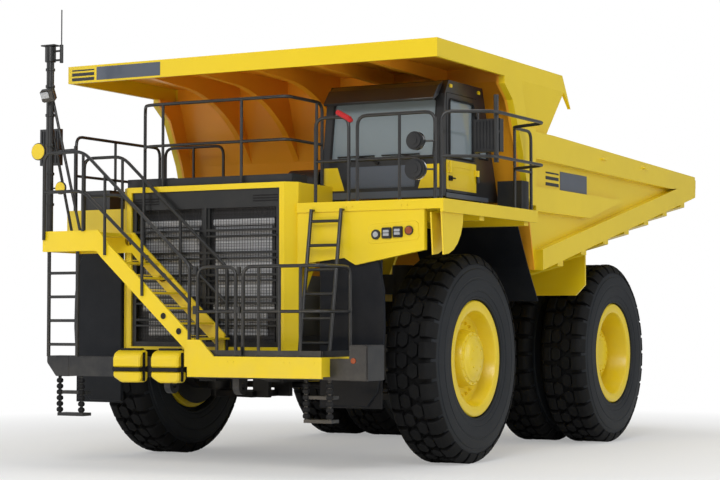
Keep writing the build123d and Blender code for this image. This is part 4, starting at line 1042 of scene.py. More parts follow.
# ------------------------------------------------------------------ nose
@dataclass
class Grille:
    """Mesh, paired guard bars, louvres and cooling cores inside the radiator surround."""

    shop: Workshop
    half: float = 1.12
    low: float = 1.56
    high: float = 3.26
    pitch: float = 0.040

    def make(self) -> None:
        """Build the grille."""
        keep, row, paint = self.shop.keep, self.shop.copies.row, self.shop.finishes
        left, y = HOOD_X - self.half, HOOD_FRONT + 0.078
        upright = Shape().box((-0.0022, -0.0022, 0),
                              (0.0022, 0.0022, self.high - self.low)).build("wire", paint.rail)
        count = int(2 * self.half / self.pitch)
        keep(row("grille_upright_wires", upright, count, (left + 0.01, y, self.low), (self.pitch, 0, 0),
                 paint.rail),
             Slot.BLACK)
        cross = Shape().box((0, -0.0022, -0.0022), (2 * self.half, 0.0022, 0.0022)).build("wire", paint.rail)
        count = int((self.high - self.low) / self.pitch)
        keep(row("grille_cross_wires", cross, count, (left, y + 0.005, self.low + 0.01), (0, 0, self.pitch),
                 paint.rail),
             Slot.BLACK)
        bar = Shape().box((0, -0.016, -0.012), (2 * self.half - 0.02, 0.010, 0.012),
                          0.004).build("bar", paint.rail)
        step = (self.high - self.low) / 6
        keep(row("grille_second_bars", bar, 5, (left + 0.01, HOOD_FRONT + 0.046, self.low + step - 0.075),
                 (0, 0, step), paint.rail), Slot.BLACK)
        for label, x in (("left", HOOD_X + 0.72), ("right", HOOD_X - 1.07)):
            blade = Shape().box((0, -0.008, -0.007), (0.36, 0.004, 0.007), 0.002)
            keep(row(f"{label}_band_louvres", blade.build("louvre", paint.seal), 3,
                     (x, HOOD_FRONT + 0.028, 3.335), (0, 0, 0.034), paint.seal), Slot.BLACK)
        cores = Shape()
        for low, high in ((-1.0, -0.09), (0.09, 1.0)):
            cores.box((HOOD_X + low + 0.03, -4.492, 2.06), (HOOD_X + high - 0.03, -4.476, 3.02), 0.006)
            cores.box((HOOD_X + low + 0.10, -4.490, 1.64), (HOOD_X + high - 0.10, -4.476, 1.93), 0.006)
        self.shop.add(cores, "cooling_core_faces", paint.core, Slot.CORE)
        tanks = Shape()
        for low, high in ((-1.0, -0.09), (0.09, 1.0)):
            tanks.box((HOOD_X + low, -4.494, 3.04), (HOOD_X + high, -4.476, 3.12), 0.008)
            tanks.box((HOOD_X + low, -4.492, 1.955), (HOOD_X + high, -4.476, 2.04), 0.008)
        self.shop.add(tanks, "cooling_core_tanks", paint.core, Slot.CORE)
        # A near-black sheet just behind the cores: painted shade for the dark inside of the hood.
        shadow = Shape().box((HOOD_X - 1.11, -4.400, 1.52), (HOOD_X + 1.11, -4.392, 3.40))
        self.shop.add(shadow, "fan_shroud", paint.chassis, Slot.IRON)
        post = Shape().box((HOOD_X - 0.06, HOOD_FRONT + 0.052, self.low),
                           (HOOD_X + 0.06, HOOD_FRONT + 0.066, self.high), 0.004)
        self.shop.add(post, "grille_centre_post", paint.rail, Slot.BLACK)


@dataclass
class FrontEnd:
    """Bumper, walkway, wheel chocks, stairs, wheel guards, step links and brake housings, whose near-black is
    painted shade.
    """

    shop: Workshop

    def chocks(self) -> None:
        """Wheel chocks in two halves with a strap between and black pads on top."""
        yellow, pads = Shape(), Shape()
        for centre in (-0.975, -0.405):
            low, high = centre - 0.205, centre + 0.205
            upper = [(low, -5.296, 1.252), (low, -5.296, 1.462), (low, -5.362, 1.470), (low, -5.456, 1.432),
                     (low, -5.488, 1.372), (low, -5.488, 1.252)]
            yellow.prism(upper, (high - low, 0, 0), 0.020)
            lower = [(low, -5.476, 1.208), (high, -5.476, 1.208), (high, -5.476, 1.105),
                     (high - 0.03, -5.476, 1.068),
                     (low + 0.12, -5.476, 1.068), (low, -5.476, 1.135)]
            yellow.prism(lower, (0, 0.178, 0), 0.018)
            pads.box((low - 0.004, -5.492, 1.206), (high + 0.004, -5.300, 1.254), 0.008)
            pads.box((low + 0.05, -5.385, 1.462), (high - 0.05, -5.306, 1.490), 0.008)
            pads.box((high - 0.002, -5.420, 1.085), (high + 0.010, -5.370, 1.440), 0.003)
        self.shop.add(yellow, "wheel_chock_blocks", self.shop.finishes.yellow, Slot.YELLOW,
                      replaces=("wheel_chocks",))
        self.shop.add(pads, "wheel_chock_pads", self.shop.finishes.seal, Slot.SHEET)

    def bumper(self) -> None:
        """Dark end caps with an amber lamp."""
        caps = Shape()
        caps.box((2.075, -5.303, 1.125), (2.325, -4.870, 1.546), 0.014)
        caps.prism([(-1.995, -5.303, 1.386), (-2.346, -5.303, 1.386), (-2.346, -5.303, 1.298),
                    (-2.203, -5.303, 1.124),
                    (-1.995, -5.303, 1.124)], (0, 0.27, 0), 0.010)
        self.shop.add(caps, "bumper_end_caps", self.shop.finishes.charcoal, Slot.GREY)
        lamps = Shape()
        lamps.rod((2.14, -5.300, 1.36), (2.14, -5.318, 1.36), 0.034, 28, 0.005)
        self.shop.add(lamps, "bumper_amber_lamps", self.shop.finishes.amber_lens, Slot.GLASS)

    def walkway(self) -> None:
        """Studded floor plate, toe plate and edge trim of the front walkway."""
        paint = self.shop.finishes
        plate = Shape().box((-0.05, -5.462, 1.399), (1.81, -4.615, 1.404), 0.001)
        self.shop.add(plate, "walkway_floor", paint.charcoal, Slot.BLACK)
        studs = Shape()
        for index in range(26):
            y = -5.445 + index * 0.032
            turn = 0.012 if index % 2 else -0.012
            studs.prism([(-0.004, y - turn, 1.403), (0.004, y - turn, 1.403), (0.004, y + turn, 1.403),
                         (-0.004, y + turn, 1.403)], (0, 0, 0.003))
        self.shop.keep(self.shop.copies.row("walkway_studs", studs.build("studs", paint.charcoal), 56,
                                            (-0.03, 0, 0), (0.0328, 0, 0), paint.charcoal), Slot.BLACK)
        toe = Shape().box((0.02, -5.452, 1.404), (1.79, -5.444, 1.475), 0.002)
        toe.box((0.70, -5.494, 1.404), (0.715, -5.440, 1.52), 0.002)
        toe.box((1.80, -5.45, 1.404), (1.808, -4.63, 1.475), 0.002)
        self.shop.add(toe, "walkway_toe_plate", paint.rail, Slot.BLACK)
        hinges = Shape()
        for z in (1.96, 2.44):
            hinges.rod((0.02, -5.435, z - 0.05), (0.02, -5.435, z + 0.05), 0.034, 18, 0.004)
            hinges.rod((0.64, -5.435, z - 0.04), (0.64, -5.435, z + 0.04), 0.030, 18, 0.004)
        self.shop.add(hinges, "gate_hinges", paint.rail, Slot.BLACK)
        edge = Shape()
        for x in (0.52, 0.60, 1.30, 1.38, 1.72):
            edge.rod((x, -5.4945, 1.335), (x, -5.500, 1.335), 0.013, 6)
        self.shop.add(edge, "walkway_edge_bolts", paint.yellow, Slot.YELLOW)

    def stairs(self) -> None:
        """Holes of the stringers, filled with near-black plugs as painted shade, and raised grips on the
        treads.
        """
        paint = self.shop.finishes
        hole_shade_plugs, rims = Shape(), Shape()
        places = {-5.4365: (-0.45, -0.22), -4.6335: (-1.50, -1.25, -0.99, -0.72, -0.45, -0.22)}
        for face, row in places.items():
            for x in row:
                z = stair_line(x) - (0.05 if x > -0.3 else 0.07)
                # Each hole is a near-black rubber plug: painted shade for the dark inside of the stairs.
                hole_shade_plugs.rod((x, face - 0.0025, z), (x, face + 0.034, z), 0.040, 24)
                before = set(rims.mesh.verts)
                rims.lathe([(0.0, 0.040), (0.004, 0.041), (0.004, 0.050), (0.0, 0.051)], (0, 0, 0), 1, 24)
                turn = (Matrix.Translation((x, face - 0.002, z)) @ Matrix.Rotation(math.pi / 2, 4, "Z")
                        @ Matrix.Scale(-1, 4, (1, 0, 0)))
                fresh = [vert for vert in rims.mesh.verts if vert not in before]
                bmesh.ops.transform(rims.mesh, matrix=turn, verts=fresh)
        bmesh.ops.recalc_face_normals(rims.mesh, faces=rims.mesh.faces[:])
        self.shop.add(hole_shade_plugs, "stringer_holes", paint.seal, Slot.BLACK)
        self.shop.add(rims, "stringer_hole_rims", paint.yellow, Slot.YELLOW)
        grip = Shape()
        for column in range(20):
            y = -5.38 + column * 0.0375
            for line in (-0.09, -0.03, 0.03, 0.09):
                grip.rod((line, y, 0.0), (line, y, 0.005), 0.008, 6)
        start = (-0.13, 0.0, stair_line(-0.13) - 0.025)
        self.shop.keep(self.shop.copies.row("stair_tread_grips", grip.build("grip", paint.yellow), 6, start,
                                            (-0.21, 0, -0.21 * STAIR_SLOPE), paint.yellow), Slot.YELLOW)

    def guards(self) -> None:
        """Dark moulded guards ahead of the front wheels, with a rounded outer edge."""
        shape = Shape()
        right = [(-1.80, 0.78), (-2.30, 0.78), (-2.47, 0.98), (-2.545, 1.30), (-2.575, 1.75), (-2.565, 2.20),
                 (-2.50, 2.58), (-2.36, 2.83), (-2.16, 2.92), (-1.80, 2.92)]
        left = [(1.19, 0.78), (1.86, 0.78), (2.00, 0.96), (2.07, 1.30), (2.10, 1.75), (2.09, 2.20),
                (2.02, 2.55),
                (1.90, 2.78), (1.72, 2.90), (1.19, 2.90)]
        for ring in (right, left):
            shape.prism([(x, -4.440, z) for x, z in ring], (0, 0.040, 0), 0.012)
        self.shop.add(shape, "front_wheel_guards", self.shop.finishes.flap, Slot.SHEET)

    def step_links(self) -> None:
        """Knobbly rubber links along the straps of the hanging steps."""
        for label, x in (("left_inner", 1.48), ("left_outer", 1.80), ("right_inner", -1.82),
                         ("right_outer", -2.16)):
            link = Shape().rod((-0.036, 0, 0), (0.036, 0, 0), 0.030, 14,
                               0.005).build("link", self.shop.finishes.seal)
            links = self.shop.copies.row(f"{label}_step_links", link, 6, (x, -5.262, 0.70), (0, 0, 0.074),
                                         self.shop.finishes.seal)
            self.shop.keep(links, Slot.SHEET)

    def brake_shade_housings(self) -> None:
        """Near-black brake housings inside the front wheels, which turn with the steering; their dark colour
        is painted shade over the inner rims.
        """
        for label, side in SIDES:
            profile = [(-0.318, 0.16), (-0.318, 0.60), (-0.326, 0.64), (-0.372, 0.66), (-0.384, 0.64),
                       (-0.384, 0.30),
                       (-0.400, 0.26), (-0.400, 0.16)]
            centre = (side * FRONT_TYRE_X, FRONT_AXLE, TYRE_RADIUS)
            drum = Shape().lathe(profile, centre, side, 64)
            self.shop.add(drum, f"{label}_brake_housing", self.shop.finishes.chassis, Slot.GREY,
                          f"{label}_knuckle")

    def make(self) -> None:
        """Build everything at the nose."""
        self.brake_shade_housings()
        self.step_links()
        self.guards()
        self.chocks()
        self.bumper()
        self.walkway()
        self.stairs()


@dataclass
class DeckFront:
    """Lamp group in the fascia, hood cover, deck beams, brackets and hanging steps."""

    shop: Workshop
    face: float = DECK_FRONT + 0.02

    def lamps(self) -> None:
        """Recess with a head lamp, two square lamps and an amber marker."""
        paint, y = self.shop.finishes, self.face
        recess = Shape()
        recess.prism([(1.90, y - 0.006, 2.79), (1.94, y - 0.006, 2.76), (2.56, y - 0.006, 2.80),
                      (2.59, y - 0.006, 2.84),
                      (2.58, y - 0.006, 3.00), (2.54, y - 0.006, 3.03), (1.95, y - 0.006, 3.00),
                      (1.90, y - 0.006, 2.96)],
                     (0, 0.010, 0), 0.003)
        self.shop.add(recess, "lamp_recess", paint.yellow, Slot.YELLOW)
        shells, clear, amber = Shape(), Shape(), Shape()
        for x, z in ((2.16, 2.89), (2.31, 2.90)):
            shells.box((x - 0.066, y - 0.040, z - 0.066), (x + 0.066, y + 0.002, z + 0.066), 0.010)
            for tier in (-0.020, 0.020):
                clear.box((x - 0.040, y - 0.046, z + tier - 0.016), (x + 0.040, y - 0.036, z + tier + 0.016),
                          0.004)
        for shape, x, z, radius in ((clear, 2.01, 2.875, 0.036), (amber, 2.46, 2.915, 0.046)):
            shells.rod((x, y + 0.002, z), (x, y - 0.030, z), radius + (0.024 if shape is clear else 0.010),
                       36, 0.004)
            shape.rod((x, y - 0.020, z), (x, y - 0.042, z), radius, 36, 0.010)
        self.shop.add(shells, "lamp_housings", paint.rail, Slot.BLACK)
        self.shop.add(clear, "head_lamp_lenses", paint.clear_lens, Slot.GLASS)
        self.shop.add(amber, "front_amber_lens", paint.amber_lens, Slot.GLASS)

    def beams(self) -> None:
        """Bolts of the deck beam, cover of the hood top and gusset brackets below the deck."""
        paint = self.shop.finishes
        bolts = Shape()
        for x in (1.60, 1.68, 2.36, 2.44):
            bolts.rod((x, DECK_FRONT + 0.003, 3.225), (x, DECK_FRONT - 0.012, 3.225), 0.012, 6)
        self.shop.add(bolts, "deck_beam_bolts", paint.yellow, Slot.YELLOW)
        cover = Shape().box((-1.66, -4.440, 3.562), (0.80, -4.060, 3.672), 0.012)
        self.shop.add(cover, "hood_top_cover", paint.charcoal, Slot.BLACK)
        brackets = Shape()
        for x in (2.72, 2.86):
            steps = [(DECK_FRONT + 0.05, 3.13)]
            steps += [(DECK_FRONT + 0.10 + 0.55 * math.sin(t * math.pi / 12),
                       2.62 + 0.51 * (1 - math.cos(t * math.pi / 12)))
                      for t in range(7)]
            steps += [(DECK_FRONT + 0.75, 3.13)]
            brackets.prism([(x, a, b) for a, b in steps], (0.018, 0, 0))
        self.shop.add(brackets, "deck_edge_brackets", paint.yellow, Slot.YELLOW)

    def steps(self) -> None:
        """Chain links beside the two hanging steps."""
        paint = self.shop.finishes
        for label, x, reach in (("left", 1.64, 0.16), ("right", -1.99, 0.17)):
            for edge, way in (("inner", -1), ("outer", 1)):
                link = Shape()
                loop = [(0.016 * math.cos(a), 0.0,
                         0.030 * math.sin(a)) for a in (2 * math.pi * k / 10 for k in range(10))]
                link.tube([*loop, loop[0], loop[1]], 0.007, 6)
                made = self.shop.copies.row(f"{label}_step_{edge}_links", link.build("link", paint.rail), 10,
                                            (x + way * reach, -5.268, 0.665), (0, 0, 0.050), paint.rail)
                self.shop.keep(made, Slot.BLACK)

    def make(self) -> None:
        """Build the deck front."""
        self.lamps()
        self.beams()
        self.steps()


# ------------------------------------------------------------------ rails and mast
@dataclass
class Rails:
    """Handrails of bent tube and the lamp mast."""

    shop: Workshop
    radius: float = 0.0215
    bend: float = 0.13
    rise: float = 1.08
    stand: tuple[float, float] = (-2.56, -4.995)

    @property
    def thin(self) -> float:
        """Radius of the posts and middle rails."""
        return self.radius * 0.9

    def hoop(self, shape: Shape, points: Sequence[tuple[float, float]], base: float,
             posts: Sequence[tuple[float, float]] = ()) -> None:
        """Add a rail whose ends turn down to the base, with a middle rail and posts.

        Args:
            shape: what the tubes are added to.
            points: plan corners of the rail.
            base: height of the plate that it stands on.
            posts: plan places of the posts between the ends.
        """
        first, last, top, half = points[0], points[-1], base + self.rise, base + self.rise / 2
        path = [(*first, base), *[(x, y, top) for x, y in points], (*last, base)]
        shape.tube(path, self.radius, 12, self.bend)
        shape.tube([(x, y, half) for x, y in points], self.thin, 12, self.bend)
        for x, y in posts:
            shape.tube([(x, y, base), (x, y, top)], self.thin, 12)
        for x, y in (first, last, *posts):
            shape.rod((x, y, base), (x, y, base + 0.014), 0.045, 20, 0.003)

    def decks(self) -> None:
        """Rails of the two decks and of the engine cover."""
        paint = self.shop.finishes
        left, y = Shape(), DECK_FRONT + 0.07
        self.hoop(left, [(1.13, y), (1.60, y)], DECK_Z)
        self.hoop(left, [(1.72, y), (2.78, y)], DECK_Z, [(2.30, y)])
        self.hoop(left, [(2.85, y + 0.02), (3.416, front(-1.45)), (3.416, front(0.06)), (2.85, front(0.33)),
                         (2.85, front(0.96))], DECK_Z, [(2.85, front(0.42))])
        self.shop.add(left, "left_deck_rails", paint.rail, Slot.BLACK, replaces=("left_handrails",))
        turn = Matrix.Rotation(0.5, 3, "Y")
        latch = Shape().box((1.420, y - 0.040, 4.325), (1.640, y + 0.030, 4.385), 0.012, turn)
        latch.box((1.585, y - 0.035, 4.270), (1.650, y + 0.028, 4.325), 0.012, turn)
        self.shop.add(latch, "rail_latch", paint.red, Slot.BLACK)
        right, back = Shape(), front(0.65)
        self.hoop(right, [(-2.85, front(-1.40)), (-2.85, back - 0.06)], DECK_Z, [(-2.85, front(-0.50))])
        self.hoop(right, [(-2.79, back), (-1.79, back)], DECK_Z, [(-2.30, back)])
        self.shop.add(right, "right_deck_rails", paint.rail, Slot.BLACK, replaces=("right_handrails",))
        hood, y = Shape(), front(-1.83)
        self.hoop(hood, [(-1.60, y + 0.27), (-1.39, y), (0.75, y), (0.75, front(-0.96))], HOOD_TOP,
                  [(-1.13, y), (0.07, y), (0.75, front(-1.10))])
        self.shop.add(hood, "engine_cover_rails", paint.rail, Slot.BLACK, replaces=("hood_handrails",))

    def nose(self) -> None:
        """Rails of the walkway, its gate and the stairs, which run level over the landing."""
        shape, y = Shape(), NOSE + 0.06
        self.hoop(shape, [(0.70, y), (1.79, y), (1.79, front(-2.10))], WALKWAY_Z,
                  [(0.92, y), (1.21, y), (1.50, y)])
        self.hoop(shape, [(0.05, y), (0.60, y)], WALKWAY_Z, [(0.33, y)])
        for side_y in (-5.457, -4.613):
            for lift, foot in ((1.00, 2.86), (0.50, 3.44)):
                drop = lift * 0.9
                path = [(-2.285, side_y, LANDING_Z + lift), (-1.67, side_y, LANDING_Z + lift),
                        (-0.15, side_y, 1.688 + drop),
                        (-0.055, side_y, 1.600 + drop)]
                if lift == 1.00:
                    path = [(-2.285, side_y, foot), *path, (-0.055, side_y, 1.42)]
                shape.tube(path, self.radius, 12, self.bend)
            for x in (-0.76, -1.33, -1.67):
                line = stair_line(x)
                top = min(line + 0.90, LANDING_Z + 1.00)
                shape.tube([(x, side_y, line - 0.10), (x, side_y, top)], self.thin, 12)
        self.shop.add(shape, "nose_rails", self.shop.finishes.rail, Slot.BLACK, replaces=("front_handrails",))

    def mast(self) -> None:
        """Mast with its head plate, aerial, struts, clamps, work lamp and round mirrors."""
        paint, (x, y) = self.shop.finishes, self.stand
        shape = Shape().rod((x, y, 2.91), (x, y, 5.43), 0.050, 24, 0.004)
        shape.rod((x, y, 5.22), (x, y, 5.425), 0.072, 24, 0.006)
        shape.box((x - 0.11, y - 0.07, 5.428), (x + 0.11, y + 0.07, 5.446), 0.004)
        shape.box((x - 0.02, y - 0.06, 2.91), (-2.32, y + 0.06, 2.95), 0.004)
        for z in (5.24, 5.36):
            shape.rod((x, y, z), (x + 0.18, y, z), 0.014, 12, 0.002)
        shape.rod((x + 0.18, y, 5.20), (x + 0.18, y, 5.44), 0.024, 16, 0.004)
        shape.rod((x + 0.18, y, 5.24), (x + 0.18, y, 5.899), 0.008, 10, 0.001)
        for foot, z in (((x + 0.43, y + 0.10), 4.90), ((x + 0.22, y + 0.20), 4.50)):
            shape.rod((x, y, z), (*foot, 2.975), 0.019, 14, 0.002)
            shape.box((foot[0] - 0.03, foot[1] - 0.03, 2.955), (foot[0] + 0.03, foot[1] + 0.03, 2.985), 0.003)
        for z in (3.35, 3.75, 4.12, 4.52, 4.90, 5.12):
            shape.rod((x, y, z - 0.018), (x, y, z + 0.018), 0.062, 24, 0.004)
        tilt = Matrix.Rotation(0.45, 3, "X") @ Matrix.Rotation(0.35, 3, "Z")
        shape.box((-2.585, -5.175, 4.690), (-2.405, -5.060, 4.850), 0.014, tilt)
        shape.rod((x, y, 4.77), (-2.50, -5.10, 4.77), 0.018, 12, 0.002)
        for spot, reach in (((-2.735, -5.02, 4.05), 0.115), ((-2.37, -5.02, 3.56), 0.085)):
            shape.rod(spot, (spot[0], spot[1] + 0.035, spot[2]), reach, 32, 0.008)
            shape.rod((spot[0], spot[1] + 0.03, spot[2]), (x, y, spot[2]), 0.011, 10, 0.001)
        self.shop.add(shape, "lamp_mast", paint.rail, Slot.BLACK, replaces=("mast",))
        faces = Shape()
        for spot, reach in (((-2.735, -5.02, 4.05), 0.104), ((-2.37, -5.02, 3.56), 0.076)):
            faces.rod((spot[0], spot[1] + 0.006, spot[2]), (spot[0], spot[1] - 0.007, spot[2]), reach, 32,
                      0.004)
        self.shop.add(faces, "mast_mirror_faces", paint.yellow, Slot.YELLOW)
        lens = Shape().box((-2.550, -5.200, 4.715), (-2.445, -5.184, 4.800), 0.006, tilt)
        self.shop.add(lens, "mast_lamp_lens", paint.clear_lens, Slot.GLASS)

    def make(self) -> None:
        """Build the rails and the mast."""
        self.decks()
        self.nose()
        self.mast()


# ------------------------------------------------------------------ cab
@dataclass
class Cab:
    """Trim, seals, wipers, patches and seats of the cab."""

    shop: Workshop
    face: float = FRONT_AXLE - 0.85

    def lean(self, z: float) -> float:
        """Place of the leaning windscreen at a height."""
        return self.face + 0.025 + (z - 3.90) * 0.15

    def screen(self) -> None:
        """Rubber seals round the panes, visor and wipers."""
        paint = self.shop.finishes
        seal = Shape()
        corners = [(0.81, 3.88), (2.29, 3.88), (2.29, 4.64), (0.81, 4.64)]
        ring = [(x, self.lean(z) - 0.012, z) for x, z in corners]
        seal.tube([*ring, ring[0], ring[1]], 0.016, 10, 0.05)
        side = [(0.695, front(-0.62), 3.90), (0.695, front(0.15), 3.90), (0.695, front(0.15), 4.60),
                (0.695, front(-0.62), 4.60)]
        seal.tube([*side, side[0], side[1]], 0.014, 8, 0.04)
        back = [(2.404, front(0.29), 3.95), (2.404, front(0.56), 3.95), (2.404, front(0.56), 4.35),
                (2.404, front(0.29), 4.35)]
        seal.tube([*back, back[0], back[1]], 0.012, 8, 0.04)
        self.shop.add(seal, "cab_window_seals", paint.seal, Slot.SHEET)
        door = [(2.408, front(-0.61), 3.90), (2.408, front(0.11), 3.90), (2.408, front(0.11), 4.64),
                (2.408, front(-0.61), 4.64)]
        frame = Shape().tube([*door, door[0], door[1]], 0.014, 8, 0.05)
        self.shop.add(frame, "door_window_seal", paint.seal, Slot.SHEET, "cab_door")
        visor = Shape()
        visor.prism([(0.76, front(-0.80), 4.665), (0.76, front(-0.93), 4.60), (0.76, front(-0.945), 4.625),
                     (0.76, front(-0.80), 4.80), (0.76, front(-0.66), 4.868), (0.76, front(-0.70), 4.78)],
                    (1.58, 0, 0), 0.004)
        self.shop.add(visor, "cab_visor", paint.cab, Slot.GREY)
        slat = Shape().box((0.0, -0.03, -0.003), (1.50, 0.03, 0.003), 0.001, Matrix.Rotation(0.5, 3, "X"))
        self.shop.keep(self.shop.copies.row("visor_louvres", slat.build("slat", paint.rail), 4,
                                            (0.80, front(-0.875), 4.68),
                                            (0, 0.030, 0.034), paint.rail), Slot.BLACK)
        wipers = Shape()
        for pivot, low_x, high_x in ((1.50, 0.92, 1.46), (2.14, 1.56, 2.10)):
            rest, middle = 3.935, (low_x + high_x) / 2
            wipers.rod((pivot, self.face + 0.005, 3.84), (pivot, self.face - 0.035, 3.84), 0.022, 16, 0.003)
            wipers.tube([(pivot, self.face - 0.028, 3.84), (pivot - 0.10, self.face - 0.026, 3.90),
                         (middle, self.lean(rest) - 0.046, rest)], 0.008, 8, 0.04)
            wipers.box((low_x, self.lean(rest) - 0.042, rest - 0.008),
                       (high_x, self.lean(rest) - 0.020, rest + 0.008), 0.003)
        self.shop.add(wipers, "cab_wipers", paint.seal, Slot.BLACK)

    def patches(self) -> None:
        """Yellow corner patches, sill, markers and door hardware."""
        paint, y = self.shop.finishes, self.face
        patch = Shape().prism([(0.72, y - 0.006, 3.50), (1.02, y - 0.006, 3.50), (0.92, y - 0.006, 3.80),
                               (0.72, y - 0.006, 3.80)],
                              (0, 0.008, 0), 0.002)
        patch.prism([(2.38, y - 0.006, 3.50), (2.08, y - 0.006, 3.50), (2.18, y - 0.006, 3.80),
                     (2.38, y - 0.006, 3.80)],
                    (0, 0.008, 0), 0.002)
        self.shop.add(patch, "cab_corner_patches", paint.yellow, Slot.YELLOW)
        sill = Shape().box((0.69, y - 0.010, 3.385), (2.41, y + 0.02, 3.475), 0.006)
        sill.box((2.398, front(-0.72), 3.385), (2.414, front(0.55), 3.445), 0.004)
        self.shop.add(sill, "cab_sill", paint.steel_blue, Slot.GREY)
        panel = Shape().box((1.06, y - 0.012, 3.52), (2.04, y + 0.004, 3.80), 0.010)
        self.shop.add(panel, "cab_front_hatch", paint.steel_blue, Slot.GREY)
        marks = Shape()
        for y_mark in (front(-0.58), front(0.26)):
            marks.box((2.398, y_mark - 0.035, 4.785), (2.420, y_mark + 0.035, 4.830), 0.005)
        self.shop.add(marks, "cab_markers", paint.yellow, Slot.YELLOW)
        latch = Shape().box((2.404, front(-0.645), 3.60), (2.424, front(-0.545), 3.665), 0.005)
        latch.rod((2.418, front(-0.60), 3.632), (2.440, front(-0.60), 3.632), 0.012, 14)
        latch.box((2.432, front(-0.61), 3.622), (2.444, front(-0.50), 3.642), 0.004)
        self.shop.add(latch, "door_handle", paint.seal, Slot.BLACK, "cab_door")
        press = Shape().box((2.4045, front(-0.62), 3.52), (2.410, front(0.12), 3.56), 0.002)
        press.box((2.4045, front(-0.62), 3.78), (2.410, front(0.12), 3.80), 0.002)
        self.shop.add(press, "door_pressings", paint.yellow, Slot.YELLOW, "cab_door")

    def cushion(self, name: str, low: Point, high: Point, lean: float = 0.0) -> Piece:
        """One stuffed seat piece, inflated as cloth.

        Args:
            name: of the piece.
            low: lowest corner.
            high: highest corner.
            lean: how far the top goes back.

        Returns:
            The piece.
        """
        shape = Shape().box(low, high, 0.02)
        piece = shape.build(name, self.shop.finishes.cloth)
        middle, height = (low[2] + high[2]) / 2, high[2] - low[2]
        for vert in piece.data.vertices:
            vert.co.y += lean * (vert.co.z - middle) / height
        bpy.context.view_layer.objects.active = piece
        self._apply(piece, "REMESH", mode="VOXEL", voxel_size=0.012)
        cloth = piece.modifiers.new("stuffing", "CLOTH")
        cloth.settings.use_pressure = True
        cloth.settings.uniform_pressure_force = 4.0
        cloth.settings.effector_weights.gravity = 0.0
        cloth.settings.quality = 6
        rest = [vert.co.copy() for vert in piece.data.vertices]
        for step in range(1, 21):
            bpy.context.scene.frame_set(step)
        done = piece.evaluated_get(bpy.context.evaluated_depsgraph_get())
        moved = [vert.co.copy() for vert in done.data.vertices]
        piece.modifiers.clear()
        bpy.context.scene.frame_set(1)
        for vert, start, end in zip(piece.data.vertices, rest, moved):
            shift = end - start
            reach = min(shift.length, 0.022)
            vert.co = start + (shift.normalized() * reach if shift.length > 1e-9 else Vector())
        self._apply(piece, "SUBSURF", levels=1, render_levels=1)
        for polygon in piece.data.polygons:
            polygon.use_smooth = True
        return piece

    @staticmethod
    def _apply(piece: Piece, kind: str, **settings: Any) -> None:
        """Run one modifier and keep its result."""
        modifier = piece.modifiers.new("step", kind)
        for key, value in settings.items():
            setattr(modifier, key, value)
        data = bpy.data.meshes.new_from_object(piece.evaluated_get(bpy.context.evaluated_depsgraph_get()))
        piece.modifiers.clear()
        piece.data = data

    def seats(self) -> None:
        """Two seats: stuffed cushions and backs on boxes with piping."""
        shells, piping = Shape(), Shape()
        for label, x, half in (("operator", 1.76, 0.26), ("trainer", 1.02, 0.21)):
            y = front(0.12)
            shells.box((x - half + 0.06, y - 0.20, 3.462), (x + half - 0.06, y + 0.20, 3.70), 0.012)
            shells.box((x - half + 0.01, y - 0.24, 3.69), (x + half - 0.01, y + 0.24, 3.76), 0.015)
            shells.prism([(x - half + 0.02, y + 0.225, 3.76), (x - half + 0.02, y + 0.262, 3.76),
                          (x - half + 0.02, y + 0.335, 4.46),
                          (x - half + 0.02, y + 0.300, 4.46)], (2 * half - 0.04, 0, 0), 0.006)
            seat = self.cushion(f"{label}_seat_cushion", (x - half + 0.02, y - 0.25, 3.765),
                                (x + half - 0.02, y + 0.16, 3.865))
            back = self.cushion(f"{label}_seat_back", (x - half + 0.02, y + 0.165, 3.80),
                                (x + half - 0.02, y + 0.262, 4.48), 0.075)
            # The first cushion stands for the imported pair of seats.
            self.shop.keep(seat, Slot.FABRIC, replaces=("cab_seats",) if label == "operator" else ())
            self.shop.keep(back, Slot.FABRIC)
            for edge in (-half + 0.022, half - 0.022):
                piping.tube([(x + edge, y - 0.245, 3.815), (x + edge, y + 0.15, 3.815)], 0.006, 8)
        self.shop.add(shells, "seat_shells", self.shop.finishes.plastic, Slot.PLASTIC)
        self.shop.add(piping, "seat_piping", self.shop.finishes.seal, Slot.FABRIC)

    def make(self) -> None:
        """Build the cab's pieces."""
        self.screen()
        self.patches()
        self.seats()


@dataclass
class Mirrors:
    """Glasses and ribbed backs of the mirrors."""

    shop: Workshop

    def make(self) -> None:
        """Build the mirror faces."""
        paint = self.shop.finishes
        glass, backs = Shape(), Shape()
        left = (3.032, 3.382, 3.88, 4.28, front(-1.24), front(-1.13))
        far = (-3.44, -3.11, 3.96, 4.46, front(-1.44), front(-1.36))
        for x0, x1, z0, z1, y0, y1 in (left, far):
            glass.box((x0 + 0.02, y1 - 0.004, z0 + 0.02), (x1 - 0.02, y1 + 0.004, z1 - 0.02), 0.002)
            backs.box((x0 + 0.004, y0 - 0.010, z0 + 0.004), (x1 - 0.004, y0 + 0.010, z1 - 0.004), 0.012)
            for index in range(7):
                x = x0 + 0.045 + index * (x1 - x0 - 0.09) / 6
                backs.box((x - 0.007, y0 - 0.020, z0 + 0.03), (x + 0.007, y0, z1 - 0.03), 0.004)
        for z, radius in ((3.98, 0.118), (3.64, 0.138)):
            dome = [(0.0, radius - 0.004), (0.030, radius * 0.92), (0.052, radius * 0.6),
                    (0.060, radius * 0.2)]
            for turn in range(len(dome) - 1):
                (a, r0), (b, r1) = dome[turn], dome[turn + 1]
                backs.rod((2.60, -4.600 - a, z), (2.60, -4.600 - b - 0.002, z), (r0 + r1) / 2, 36)
            glass.rod((2.60, -4.556, z), (2.60, -4.552, z), radius - 0.008, 36)
        self.shop.add(glass, "mirror_glasses", paint.mirror, Slot.CHROME)
        self.shop.add(backs, "mirror_backs", paint.charcoal, Slot.BLACK)


